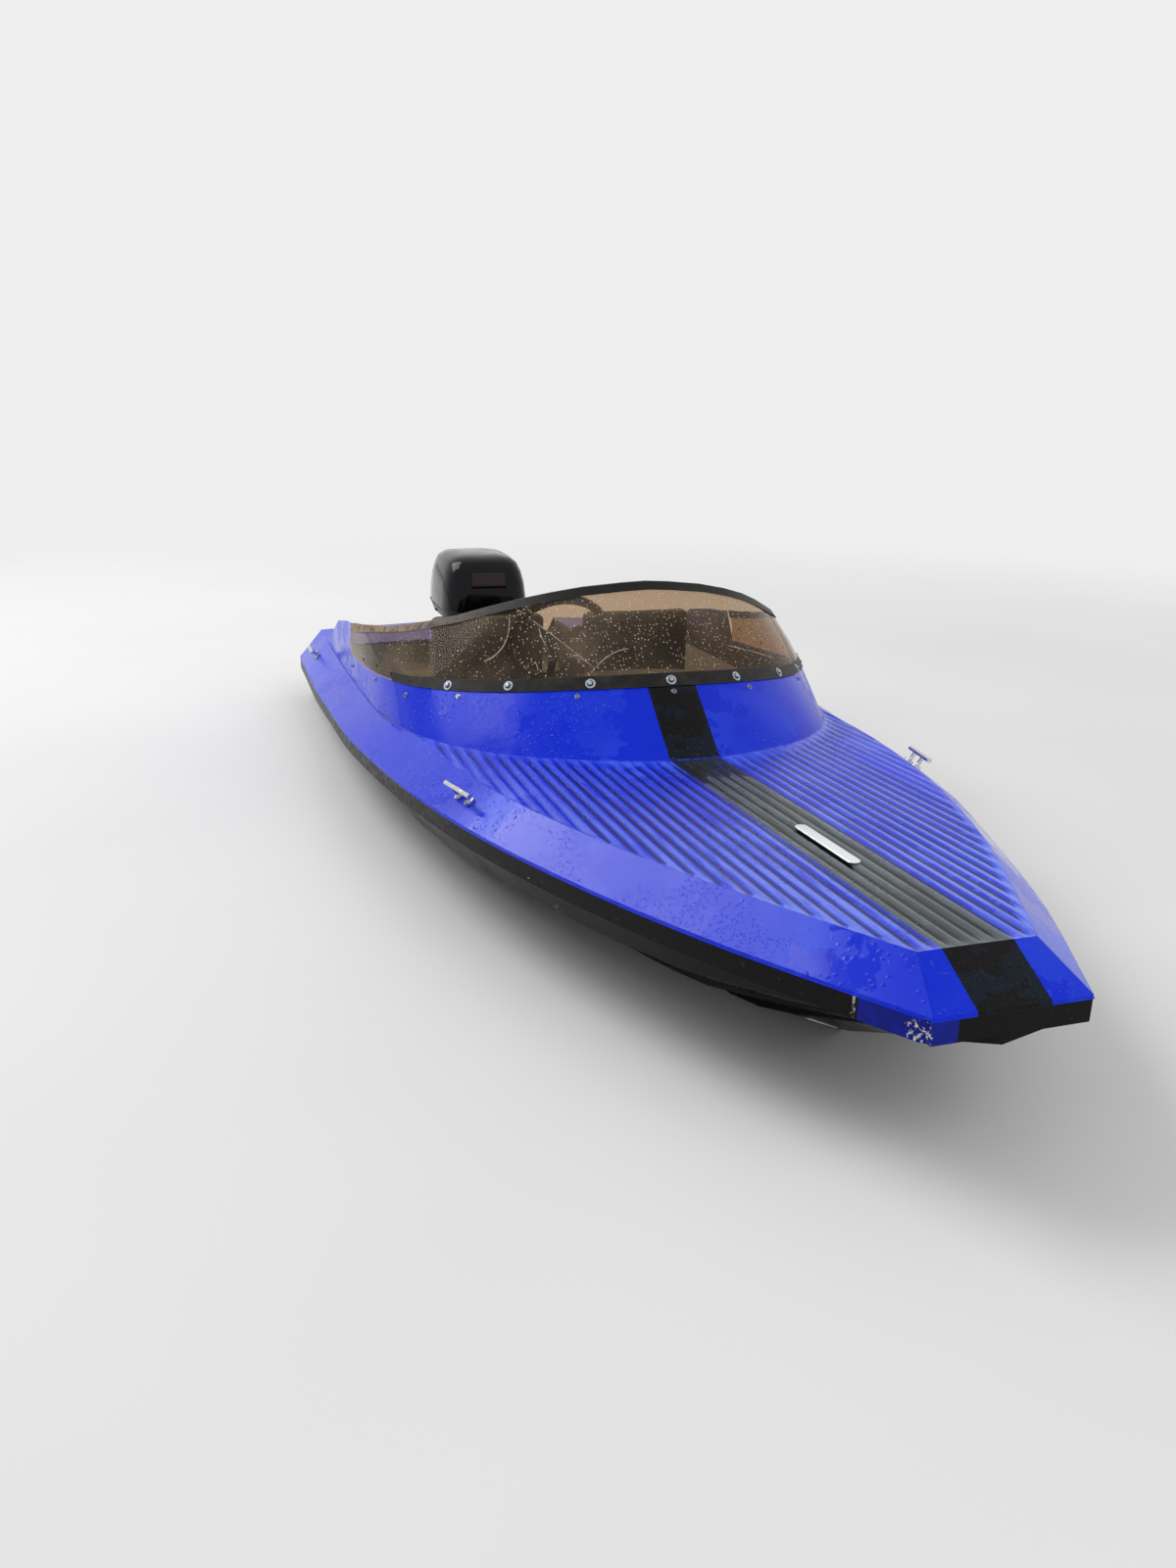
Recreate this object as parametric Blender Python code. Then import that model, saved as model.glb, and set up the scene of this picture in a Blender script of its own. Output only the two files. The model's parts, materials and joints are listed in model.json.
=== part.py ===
"""Open two-seat speedboat with a ribbed foredeck, a wraparound screen and an outboard motor.

Metres. +Z is up, the bow points to -Y and port is +X. The origin is on the waterline, amidships
and on the centreline. Tables give places as shares: of the hull's length from the bow, of the
half beam, and of the bow's height above the water, unless their comment says otherwise.
"""

import math

import bmesh
import bpy
from mathutils import Matrix, Vector

# Driving sizes of the whole boat
HULL_LENGTH = 3.90
HALF_BEAM = 0.878
BOW_HEIGHT = 0.334

# Clearances
SEAM = 0.0003
RUNNING_GAP = 0.0008
OVERRUN = 0.010

# Deck moulding
DECK_WALL = 0.006
DECK_CREST_SHARE = 1.1946
DECK_FALL_SHARE = 0.3563
DECK_CAMBER_SHARE = 0.0928
DECK_AFT_LIFT_SHARE = 0.0988
DECK_LEVEL_SHARE = 0.505
STRIPE_HALF = 0.0735
RIB_PITCH = 0.0327
RIB_DEPTH = 0.0065
RIB_FADE_FRONT = 0.045
RIB_FADE_BACK = 0.085
SHELF_WIDTH = 0.035
PANEL_LAP = 0.018

# Flange that the deck and hull mouldings share
FLANGE_HEIGHT = 0.046
FLANGE_WALL = 0.010

# Hull moulding
HULL_WALL = 0.008
TRANSOM_WALL = 0.045
TRANSOM_TOP = 0.190
STRAKE_WIDTH = 0.026
STRAKE_DEPTH = 0.014

# Coaming, screen and their trim
COAMING_WALL = 0.006
SCREEN_WALL = 0.004
COAMING_STEP = 0.002
BAND_HEIGHT = 0.045
BAND_WALL = 0.003
BAND_SKIP = 3
TRIM_HEIGHT = 0.026
TRIM_WALL = 0.004
SCREEN_BULGE = 0.008

# Cockpit
SOLE_TOP = 0.0
SOLE_WALL = 0.012
SOLE_GAP = 0.008
LINER_WALL = 0.006
DASH_WALL = 0.010
DASH_DROP = 0.190
DASH_LEAN_SHARE = 0.25
DASH_GAP = 0.0026
DASH_REACH_ROW = 6
SEAT_DEPTH = 0.42
SEAT_PLINTH = 0.125
PLINTH_INSET = 0.055
CUSHION = 0.080
BACK_TOP = 0.552
BACK_THICKNESS = 0.075
BENCH_DEPTH = 0.30
BENCH_TOP = 0.215
BULKHEAD_WALL = 0.012

# Cleats
CLEAT_LENGTH = 0.150
CLEAT_HEIGHT = 0.036
CLEAT_RADIUS = 0.007
CLEAT_LIFTS = {"fore": 0.0009, "stern": 0.0011}

# Motor well in the stern deck
WELL_HALF = 0.300
WELL_LENGTH = 0.315
WELL_FLOOR = 0.080
WELL_WALL = 0.006
NOTCH_SLOPE = 0.050

# Steering wheel
WHEEL_X = -0.170
WHEEL_Y = 0.250
WHEEL_RADIUS = 0.180
RIM_RADIUS = 0.0155
RIM_SPANS = 32
RIM_SIDES = 8
WHEEL_RAKE = math.radians(30)
COLUMN_RADIUS = 0.022
COLUMN_SIDES = 20
BEZEL_RADIUS = 0.048
BEZEL_WALL = 0.012
HUB_RADIUS = 0.042
HUB_HALF = 0.016
SPOKE_WIDTH = 0.026
SPOKE_WALL = 0.007

# Outboard motor, measured from the transom's outer face and its top
TUBE_HEIGHT = 0.055
TUBE_RADIUS = 0.011
CHEEK_X = 0.095
CHEEK_WALL = 0.014
TUBE_HALF = 0.140
CHEEK_BOSS = 0.020
CHEEK_DEPTH = 0.070
ARM_STAND_OFF = 0.022
ARM_WALL = 0.028
BRIDGE_RISE = 0.017
CLAMP_DROP = 0.090
THRUST_DROP = 0.130
THRUST_RADIUS = 0.008
CLAMP_SCREW_DROP = 0.062
CLAMP_SCREW_RADIUS = 0.007
CLAMP_SCREW_LENGTH = 0.105
CLAMP_PAD_RADIUS = 0.019
CLAMP_PAD_WALL = 0.006
CLAMP_HANDLE = 0.064
SLEEVE_RADIUS = 0.024
SLEEVE_HALF = 0.090
SWIVEL_BACK = 0.075
SWIVEL_RADIUS = 0.026
SWIVEL_RISE = 0.060
SWIVEL_DROP = 0.170
WEB_HALF = 0.022
PIN_RADIUS = 0.012
YOKE_WALL = 0.018
YOKE_GAP = 0.005
YOKE_RADIUS = 0.042
LOWER_YOKE_GAP = 0.010
LEG_HALF = 0.048
LEG_FRONT = 0.113
LEG_CHORD = 0.150
PAN_HEIGHT = 0.060
PAN_FLOOR = 0.006
PAN_FOOT_SHARE = 0.80
PAN_WAIST_SHARE = 0.94
COWL_WIDTH = 0.405
COWL_LENGTH = 0.600
COWL_FRONT = 0.022
COWL_TOP = 0.585
COWL_WALL = 0.004
BLOCK_WIDTH = 0.200
BLOCK_LENGTH = 0.300
BLOCK_HEIGHT = 0.220
PLATE_BELOW_KEEL = 0.010
PLATE_WALL = 0.007
PLATE_FRONT = 0.100
PLATE_LENGTH = 0.320
PLATE_HALF = 0.105
STRUT_CHORD = 0.150
STRUT_HALF = 0.026
GEAR_DROP = 0.122
GEAR_RADIUS = 0.043
GEAR_FRONT = 0.100
GEAR_LENGTH = 0.260
SKEG_DEPTH = 0.145
SKEG_HALF = 0.006
PROP_RADIUS = 0.108
PROP_HUB_RADIUS = 0.034
PROP_HUB_LENGTH = 0.085
PROP_PITCH = 0.300
BLADE_CHORD = 0.082
BLADE_HALF_WALL = 0.0025
BLADES = 3

STERN_Y = HULL_LENGTH / 2
BOW_Y = -HULL_LENGTH / 2
STRIPE_SHARE = STRIPE_HALF / HALF_BEAM
SEAT_WIDTH_SHARE = 0.5011
SEAT_CENTRE_SHARE = 0.3246
SEAT_WIDTH = HALF_BEAM * SEAT_WIDTH_SHARE
SEAT_CENTRE = HALF_BEAM * SEAT_CENTRE_SHARE
WHEEL_RISE_SHARE = 1.63174
WHEEL_Z = BOW_HEIGHT * WHEEL_RISE_SHARE

# Columns: length, half beam, height
DECK_EDGE_SHARES = (
    (0.0, 0.180, 1.000), (0.1, 0.412, 0.934), (0.2, 0.597, 0.874), (0.3, 0.752, 0.838),
    (0.4, 0.854, 0.793), (0.5, 0.923, 0.749), (0.6, 0.968, 0.704), (0.7, 0.985, 0.659),
    (0.8, 1.000, 0.614), (0.9, 1.000, 0.569), (1.0, 1.000, 0.515),
)
# Columns: length, half beam of the crease where the sloping margin ends
CREASE_SHARES = (
    (0.03, 0.140), (0.07, 0.232), (0.13, 0.365), (0.19, 0.478), (0.25, 0.573), (0.31, 0.650),
    (0.37, 0.707), (0.43, 0.749), (0.50, 0.777), (0.55, 0.829), (0.60, 0.858), (0.68, 0.870),
    (0.77, 0.882), (0.90, 0.886), (1.00, 0.888),
)
CREASE_START_SHARE = 0.03
MARGIN_END_SHARE = 0.508
MARGIN_SPANS = 16
SIDE_DECK_SPANS = 15
# Columns: length, chine's half beam, chine's height, keel's height
HULL_SHARES = (
    (0.005, 0.125, 0.823, 0.749), (0.038, 0.216, 0.784, 0.560), (0.100, 0.353, 0.644, 0.207),
    (0.154, 0.450, 0.539, -0.102), (0.218, 0.541, 0.455, -0.299), (0.300, 0.643, 0.365, -0.434),
    (0.400, 0.740, 0.284, -0.509), (0.500, 0.803, 0.225, -0.548), (0.667, 0.854, 0.165, -0.569),
    (0.833, 0.871, 0.135, -0.569), (1.000, 0.871, 0.120, -0.569),
)
BENCH_BACK_SHARE = 0.895
STEM_SHARE = 0.005
SOLE_FRONT_SHARE = 0.40
# Places of the strakes between keel and chine
STRAKE_SHARES = (0.36, 0.68)
# Columns: coaming base's half beam and length; screen foot's half beam, length and height;
# screen edge's half beam, length and height
SCREEN_SHARES = (
    (0.000, 0.360, 0.000, 0.4100, 1.551, 0.000, 0.472, 2.329),
    (STRIPE_SHARE, 0.361, STRIPE_SHARE, 0.4115, 1.545, STRIPE_SHARE, 0.473, 2.317),
    (0.213, 0.369, 0.211, 0.4185, 1.527, 0.216, 0.480, 2.275),
    (0.326, 0.380, 0.319, 0.4295, 1.500, 0.319, 0.489, 2.216),
    (0.436, 0.395, 0.421, 0.4440, 1.464, 0.416, 0.503, 2.138),
    (0.540, 0.415, 0.518, 0.4620, 1.422, 0.507, 0.521, 2.042),
    (0.633, 0.440, 0.609, 0.4836, 1.383, 0.592, 0.541, 1.937),
    (0.713, 0.470, 0.691, 0.5085, 1.347, 0.672, 0.565, 1.844),
    (0.778, 0.505, 0.757, 0.5330, 1.320, 0.740, 0.591, 1.760),
    (0.824, 0.544, 0.809, 0.5615, 1.299, 0.792, 0.618, 1.695),
    (0.853, 0.595, 0.843, 0.6050, 1.260, 0.826, 0.649, 1.641),
    (0.866, 0.667, 0.860, 0.6670, 1.198, 0.845, 0.690, 1.560),
    (0.875, 0.733, 0.868, 0.7330, 1.144, 0.856, 0.736, 1.482),
)
# The blue fins behind the screen. Columns: base's half beam and length; top's three shares
FIN_SHARES = (
    (0.876, 0.744, 0.860, 0.746, 1.473), (0.880, 0.795, 0.863, 0.795, 1.400),
    (0.883, 0.846, 0.868, 0.846, 1.300), (0.884, 0.885, 0.877, 0.885, 1.090),
    (0.884, 0.923, 0.882, 0.918, 0.930),
)
LINER_STATION_SHARES = (0.53, 0.58, 0.64, 0.72, 0.80, BENCH_BACK_SHARE)
DASH_BACK_SHARE = 0.521
SEAT_FRONT_SHARE = 0.575
CLEAT_SHARES = {"fore": 0.347, "stern": 0.917}
# Plan of the motor's cowling. Columns: length from the front, half width
COWL_PLAN_SHARES = (
    (0.0, 0.0), (0.0, 0.48), (0.015, 0.68), (0.055, 0.85), (0.13, 0.96), (0.26, 1.0), (0.66, 1.0),
    (0.86, 0.93), (0.96, 0.72), (1.0, 0.40), (1.0, 0.0),
)
# Columns: height of the upper cowling, width and length left there
COWL_RISE_SHARES = (
    (0.0, 1.0), (0.28, 0.985), (0.52, 0.95), (0.72, 0.89), (0.87, 0.81), (0.96, 0.68), (1.0, 0.42),
)
# Section of the leg and the strut. Columns: chord from the nose, half thickness
FOIL_SHARES = ((0.0, 0.0), (0.04, 0.42), (0.14, 0.80), (0.34, 1.0), (0.62, 0.82), (0.88, 0.36), (1.0, 0.05))
# Columns: length from the nose, radius
GEARCASE_SHARES = (
    (0.0, 0.08), (0.03, 0.40), (0.10, 0.68), (0.22, 0.90), (0.42, 1.0), (0.75, 0.97), (1.0, 0.80),
)
# Columns: length from the front, radius
PROP_HUB_SHARES = ((0.0, 1.0), (0.80, 0.97), (0.86, 0.45), (1.0, 0.40))
# Columns: radius, chord
BLADE_SHARES = ((0.20, 0.50), (0.45, 0.92), (0.65, 1.0), (0.82, 0.90), (0.94, 0.62), (1.0, 0.25))
# Columns: chord from the middle, half thickness
BLADE_SECTION_SHARES = (
    (-0.5, 0.35), (-0.2, 1.0), (0.2, 1.0), (0.5, 0.35), (0.5, -0.35), (0.2, -1.0), (-0.2, -1.0), (-0.5, -0.35),
)
BLADE_PLACE_SHARE = 0.42
BLADE_TAPER_SHARE = 1.4
BLADE_SPANS = 9
PLATE_PLAN_SHARES = (
    (0.0, 0.0), (0.03, 0.35), (0.33, 0.70), (0.65, 1.0), (0.90, 1.0), (1.0, 0.70), (1.0, 0.0),
)
SKEG_SHARES = ((0.30, 0.0), (0.58, 1.0), (0.92, 1.0), (0.90, 0.0))
SPOKE_ANGLES = (90, 210, 330)


# Materials

def paint(name, colour, roughness, metallic=0.0):
    material = bpy.data.materials.new(name)
    material.use_nodes = True
    shader = material.node_tree.nodes["Principled BSDF"]
    shader.inputs["Base Color"].default_value = (*colour, 1)
    shader.inputs["Roughness"].default_value = roughness
    shader.inputs["Metallic"].default_value = metallic
    return material


def make_palette():
    return {
        "blue": paint("blue_gelcoat", (0.010, 0.035, 0.62), 0.25),
        "charcoal": paint("charcoal_paint", (0.020, 0.024, 0.032), 0.40),
        "black": paint("black_gelcoat", (0.012, 0.012, 0.014), 0.35),
        "rubber": paint("black_rubber", (0.015, 0.015, 0.017), 0.60),
        "bronze": paint("bronze_acrylic", (0.32, 0.20, 0.10), 0.12),
        "steel": paint("stainless_steel", (0.72, 0.72, 0.70), 0.25, 1.0),
        "gloss": paint("motor_gloss_black", (0.010, 0.010, 0.012), 0.18),
        "casting": paint("motor_black_casting", (0.030, 0.030, 0.032), 0.45, 0.3),
        "grey": paint("grey_liner", (0.16, 0.16, 0.17), 0.65),
        "vinyl": paint("black_vinyl", (0.022, 0.022, 0.025), 0.55),
        "iron": paint("cast_engine_block", (0.20, 0.20, 0.21), 0.55, 0.8),
    }


# Lines of the boat

def along(table, share, column):
    """A smooth value between the rows of a table whose first column is the place."""
    places = [row[0] for row in table]
    if share <= places[0]:
        return table[0][column]
    if share >= places[-1]:
        return table[-1][column]
    k = max(i for i, place in enumerate(places) if place <= share)

    def slope(i):
        low, high = max(i - 1, 0), min(i + 1, len(table) - 1)
        return (table[high][column] - table[low][column]) / (places[high] - places[low])

    span = places[k + 1] - places[k]
    t = (share - places[k]) / span
    start, end = table[k][column], table[k + 1][column]
    lead = t * t * (3 - 2 * t)
    return (start + (end - start) * lead
            + slope(k) * span * t * (1 - t) ** 2 - slope(k + 1) * span * t * t * (1 - t))


def at_length(share):
    return BOW_Y + share * HULL_LENGTH


def deck_top(x, y):
    """Height of the deck inside its margin: a falling line with a little camber."""
    share = (y - BOW_Y) / HULL_LENGTH
    aft = max(0.0, share - DECK_LEVEL_SHARE) / (1 - DECK_LEVEL_SHARE)
    crown = DECK_CREST_SHARE - DECK_FALL_SHARE * share - DECK_CAMBER_SHARE * (x / HALF_BEAM) ** 2
    return BOW_HEIGHT * (crown + DECK_AFT_LIFT_SHARE * aft ** 2)


def deck_edge(share):
    return Vector((along(DECK_EDGE_SHARES, share, 1) * HALF_BEAM, at_length(share),
                   along(DECK_EDGE_SHARES, share, 2) * BOW_HEIGHT))


def crease(share):
    x = along(CREASE_SHARES, share, 1) * HALF_BEAM
    y = at_length(share)
    return Vector((x, y, deck_top(x, y)))


def crease_share_beside(share):
    """The crease starts further aft than the edge does at the bow, and ends level with it."""
    return CREASE_START_SHARE + share * (1 - CREASE_START_SHARE)


def mirrored(point):
    return Vector((-point.x, point.y, point.z))


def dropped(point, depth):
    return Vector((point.x, point.y, point.z - depth))


# Building blocks

def finish(bm, name, material, smooth=False):
    bmesh.ops.recalc_face_normals(bm, faces=bm.faces)
    mesh = bpy.data.meshes.new(name)
    bm.to_mesh(mesh)
    bm.free()
    mesh.materials.append(material)
    if smooth:
        mesh.shade_smooth()
        mesh.set_sharp_from_angle(angle=math.radians(35))
    made = bpy.data.objects.new(name, mesh)
    bpy.context.scene.collection.objects.link(made)
    return made


def skin(bm, sections, closed_path=False, split=False):
    """Joins closed sections of equal length into one body, with an end face on each end.

    Where split is set, each side is cut across the same way, so that bodies with matching
    sections lie evenly on each other.
    """
    rings = [[bm.verts.new(point) for point in section] for section in sections]
    pairs = list(zip(rings, rings[1:]))
    if closed_path:
        pairs.append((rings[-1], rings[0]))
    for first, second in pairs:
        count = len(first)
        for i in range(count):
            corners = (first[i], first[(i + 1) % count], second[(i + 1) % count], second[i])
            if split:
                bm.faces.new(corners[:3])
                bm.faces.new((corners[0], corners[2], corners[3]))
            else:
                bm.faces.new(corners)
    if not closed_path:
        bm.faces.new(list(reversed(rings[0])))
        bm.faces.new(rings[-1])


def lofted(name, sections, material, smooth=False, split=False):
    bm = bmesh.new()
    skin(bm, sections, split=split)
    return finish(bm, name, material, smooth)


def box(bm, low, high):
    centre = (Vector(low) + Vector(high)) / 2
    size = Vector(high) - Vector(low)
    turn = Matrix.Translation(centre) @ Matrix.Diagonal((*size, 1))
    bmesh.ops.create_cube(bm, size=1, matrix=turn)


def rod(bm, start, end, radius, sides=16):
    start, end = Vector(start), Vector(end)
    along_rod = end - start
    turn = Vector((0, 0, 1)).rotation_difference(along_rod).to_matrix().to_4x4()
    bmesh.ops.create_cone(bm, cap_ends=True, segments=sides, radius1=radius, radius2=radius,
                          depth=along_rod.length, matrix=Matrix.Translation((start + end) / 2) @ turn)


def helper_of(bm, name):
    """A body that only cuts or joins another."""
    made = finish(bm, name, bpy.data.materials[0])
    made.hide_render = True
    made.display_type = "WIRE"
    return made


def combine(target, other, operation):
    step = target.modifiers.new(other.name, "BOOLEAN")
    step.operation = operation
    step.solver = "EXACT"
    step.use_self = operation == "UNION"
    step.object = other


def united(name, builders, material, smooth=False):
    """One body from several overlapping shapes, each made by a function that fills a bmesh."""
    bm = bmesh.new()
    builders[0](bm)
    whole = finish(bm, name, material, smooth)
    for k, builder in enumerate(builders[1:]):
        piece = bmesh.new()
        builder(piece)
        helper = helper_of(piece, f"{name}_join_{k}")
        helper.parent = whole
        combine(whole, helper, "UNION")
    return whole


# Hull

def hull_outer(share):
    """Outer line of the hull from the port sheer under the keel to the starboard sheer."""
    edge = deck_edge(share)
    y = at_length(share)
    sheer = Vector((edge.x - FLANGE_WALL - SEAM, y, edge.z - DECK_WALL - SEAM))
    chine = Vector((along(HULL_SHARES, share, 1) * HALF_BEAM, y,
                    along(HULL_SHARES, share, 2) * BOW_HEIGHT))
    keel = Vector((0, y, along(HULL_SHARES, share, 3) * BOW_HEIGHT))
    half = [sheer, chine]
    half_bottom = keel - chine
    width = half_bottom.length
    fade = min(1.0, share / HULL_SHARES[3][0])
    for place in reversed(STRAKE_SHARES):
        middle = chine + half_bottom * (1 - place)
        outward = half_bottom.normalized()
        reach = min(STRAKE_WIDTH, width * (1 - place) / 2) * fade
        half += [middle - outward * reach / 2,
                 dropped(middle - outward * reach / 2, STRAKE_DEPTH * fade * fade),
                 middle + outward * reach / 2]
    return half + [keel] + [mirrored(point) for point in reversed(half)]


def hull_inner(share, y):
    edge = deck_edge(share)
    sheer = Vector((edge.x - FLANGE_WALL - SEAM - HULL_WALL, y, edge.z - DECK_WALL - SEAM))
    chine = Vector((along(HULL_SHARES, share, 1) * HALF_BEAM - HULL_WALL, y,
                    along(HULL_SHARES, share, 2) * BOW_HEIGHT + HULL_WALL))
    keel = Vector((0, y, along(HULL_SHARES, share, 3) * BOW_HEIGHT + HULL_WALL))
    return [sheer, chine, keel, mirrored(chine), mirrored(sheer)]


def strip(bm, rows):
    for first, second in zip(rows, rows[1:]):
        for i in range(len(first) - 1):
            bm.faces.new((first[i], first[i + 1], second[i + 1], second[i]))


def edge_shares():
    """The stations that deck, flange and hull have in common, so that their edges match."""
    fore = [MARGIN_END_SHARE * k / MARGIN_SPANS for k in range(MARGIN_SPANS)]
    aft = [MARGIN_END_SHARE + (1 - MARGIN_END_SHARE) * k / SIDE_DECK_SPANS
           for k in range(SIDE_DECK_SPANS + 1)]
    return fore + aft


def make_hull(palette):
    """A shell closed at the stem, open on top and at the transom."""
    bm = bmesh.new()
    last = (STERN_Y - TRANSOM_WALL - SEAM - BOW_Y) / HULL_LENGTH
    shares = [STEM_SHARE] + [share for share in edge_shares() if STEM_SHARE < share < last] + [last]
    outer = [[bm.verts.new(point) for point in hull_outer(share)] for share in shares]
    inner = []
    for k, share in enumerate(shares):
        y = at_length(share) + (HULL_WALL if k == 0 else 0)
        inner.append([bm.verts.new(point) for point in hull_inner(share, y)])
    strip(bm, outer)
    strip(bm, inner)
    for side in (0, -1):
        strip(bm, [(a[side], b[side]) for a, b in zip(outer, inner)])
    bm.faces.new(outer[0])
    bm.faces.new(inner[0])
    bm.faces.new((outer[0][0], outer[0][-1], inner[0][-1], inner[0][0]))
    bm.faces.new(outer[-1] + list(reversed(inner[-1])))
    finish(bm, "hull_shell", palette["black"])


def make_transom(palette):
    """A plank across the stern: up to the deck at its sides, and cut down for the motor."""
    front = STERN_Y - TRANSOM_WALL
    section = hull_outer(1.0)
    keel = len(section) // 2
    ridge = crease(1.0)
    under = DECK_WALL + 2 * SEAM
    port = [Vector((WELL_HALF - NOTCH_SLOPE, 0, TRANSOM_TOP)),
            Vector((WELL_HALF, 0, deck_top(WELL_HALF, STERN_Y) - under)),
            Vector((ridge.x, 0, ridge.z - under))]
    port += section[:keel]
    outline = port + [section[keel]] + [mirrored(point) for point in reversed(port)]
    rows = [[Vector((point.x, y, point.z)) for point in outline] for y in (front, STERN_Y)]
    lofted("transom", rows, palette["black"])


# Flange

def make_flanges(palette):
    for side, name in ((1, "port"), (-1, "starboard")):
        rows = []
        for k, share in enumerate([0.0, STEM_SHARE, *edge_shares()[1:]]):
            edge = deck_edge(share)
            if k == 0:
                edge.y += FLANGE_WALL + SEAM
            top = edge.z - DECK_WALL - SEAM
            x_out, x_in = edge.x * side, (edge.x - FLANGE_WALL) * side
            rows.append([Vector((x_out, edge.y, top)), Vector((x_out, edge.y, top - FLANGE_HEIGHT)),
                         Vector((x_in, edge.y, top - FLANGE_HEIGHT)), Vector((x_in, edge.y, top))])
        lofted(f"flange_{name}", rows, palette["black"])
    edge = deck_edge(0.0)
    top = edge.z - DECK_WALL - SEAM
    bm = bmesh.new()
    box(bm, (-edge.x, BOW_Y, top - FLANGE_HEIGHT), (edge.x, BOW_Y + FLANGE_WALL, top))
    finish(bm, "flange_bow", palette["black"])


# Deck

def make_bow_facet(palette):
    edge, inner = deck_edge(0.0), crease(CREASE_START_SHARE)
    rows = []
    for point in (edge, inner):
        half = point.x - 2 * SEAM
        top = [Vector((x, point.y, point.z)) for x in (-half, -STRIPE_HALF, STRIPE_HALF, half)]
        rows.append(top + [dropped(p, DECK_WALL) for p in reversed(top)])
    facet = lofted("bow_facet", rows, palette["blue"])
    facet.data.materials.append(palette["charcoal"])
    paint_stripe(facet)


def border_stations(start, end, count):
    """Pairs of points on the deck's edge and on the crease, which one straight slope joins."""
    shares = [start + (end - start) * k / count for k in range(count + 1)]
    return [(deck_edge(share), crease(crease_share_beside(share))) for share in shares]


def margin_stations():
    return border_stations(0.0, MARGIN_END_SHARE, MARGIN_SPANS)


def side_deck_stations():
    return border_stations(MARGIN_END_SHARE, 1.0, SIDE_DECK_SPANS)


def make_margins(palette):
    """The sloping borders of the foredeck, from the bow's mitre to beside the screen."""
    for side, name in ((1, "port"), (-1, "starboard")):
        rows = []
        for edge, inner in margin_stations():
            outline = [edge, inner, dropped(inner, DECK_WALL), dropped(edge, DECK_WALL)]
            rows.append([Vector((p.x * side, p.y, p.z)) for p in outline])
        lofted(f"foredeck_margin_{name}", rows, palette["blue"])


def make_side_decks(palette):
    """The borders beside the cockpit, with the shelf that the coaming stands on."""
    for side, name in ((1, "port"), (-1, "starboard")):
        rows = []
        for k, (edge, inner) in enumerate(side_deck_stations()):
            if k == 0:
                edge.y += SEAM * 2
                inner.y += SEAM * 2
            shelf_x = inner.x - SHELF_WIDTH
            shelf = Vector((shelf_x, inner.y, deck_top(shelf_x, inner.y)))
            top = [edge, inner, shelf]
            outline = top + [dropped(point, DECK_WALL) for point in reversed(top)]
            rows.append([Vector((p.x * side, p.y, p.z)) for p in outline])
        lofted(f"side_deck_{name}", rows, palette["blue"])


def base_line():
    """The coaming's base on the deck, from the centreline aft, on the port side."""
    points = []
    for row in list(SCREEN_SHARES) + list(FIN_SHARES):
        y = at_length(row[1])
        limit = crease(row[1]).x - COAMING_STEP
        x = min(row[0] * HALF_BEAM, limit)
        points.append(Vector((x, y, deck_top(x, y) + SEAM)))
    return points


def length_on(points, x):
    """The y where a line of points, ordered by x, reaches x."""
    for first, second in zip(points, points[1:]):
        if first.x <= x <= second.x:
            t = (x - first.x) / (second.x - first.x)
            return first.y + (second.y - first.y) * t
    return points[0].y if x < points[0].x else points[-1].y


def place_on(points, y):
    """The x where a line of points, ordered by y, reaches y."""
    for first, second in zip(points, points[1:]):
        if first.y <= y <= second.y:
            return first.x + (second.x - first.x) * (y - first.y) / (second.y - first.y)
    return points[0].x if y < points[0].y else points[-1].x


def rib_columns(reach):
    """Places across the deck, four to a rib, with a crown on the centreline and an end at reach."""
    profile_shares = (-0.5, -0.28, 0.0, 0.28)
    places = set()
    ribs = int(reach / RIB_PITCH) + 2
    for k in range(-ribs, ribs + 1):
        for share in profile_shares:
            x = (k + share) * RIB_PITCH
            if abs(x) < reach - RIB_PITCH / 10:
                places.add(round(x, 6))
    return [-reach] + sorted(places) + [reach]


def rib_drop(x):
    """How far the ribbed surface lies below the ribs' crowns."""
    across = abs(x / RIB_PITCH - round(x / RIB_PITCH)) * 2
    return RIB_DEPTH * across ** 2.4


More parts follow.
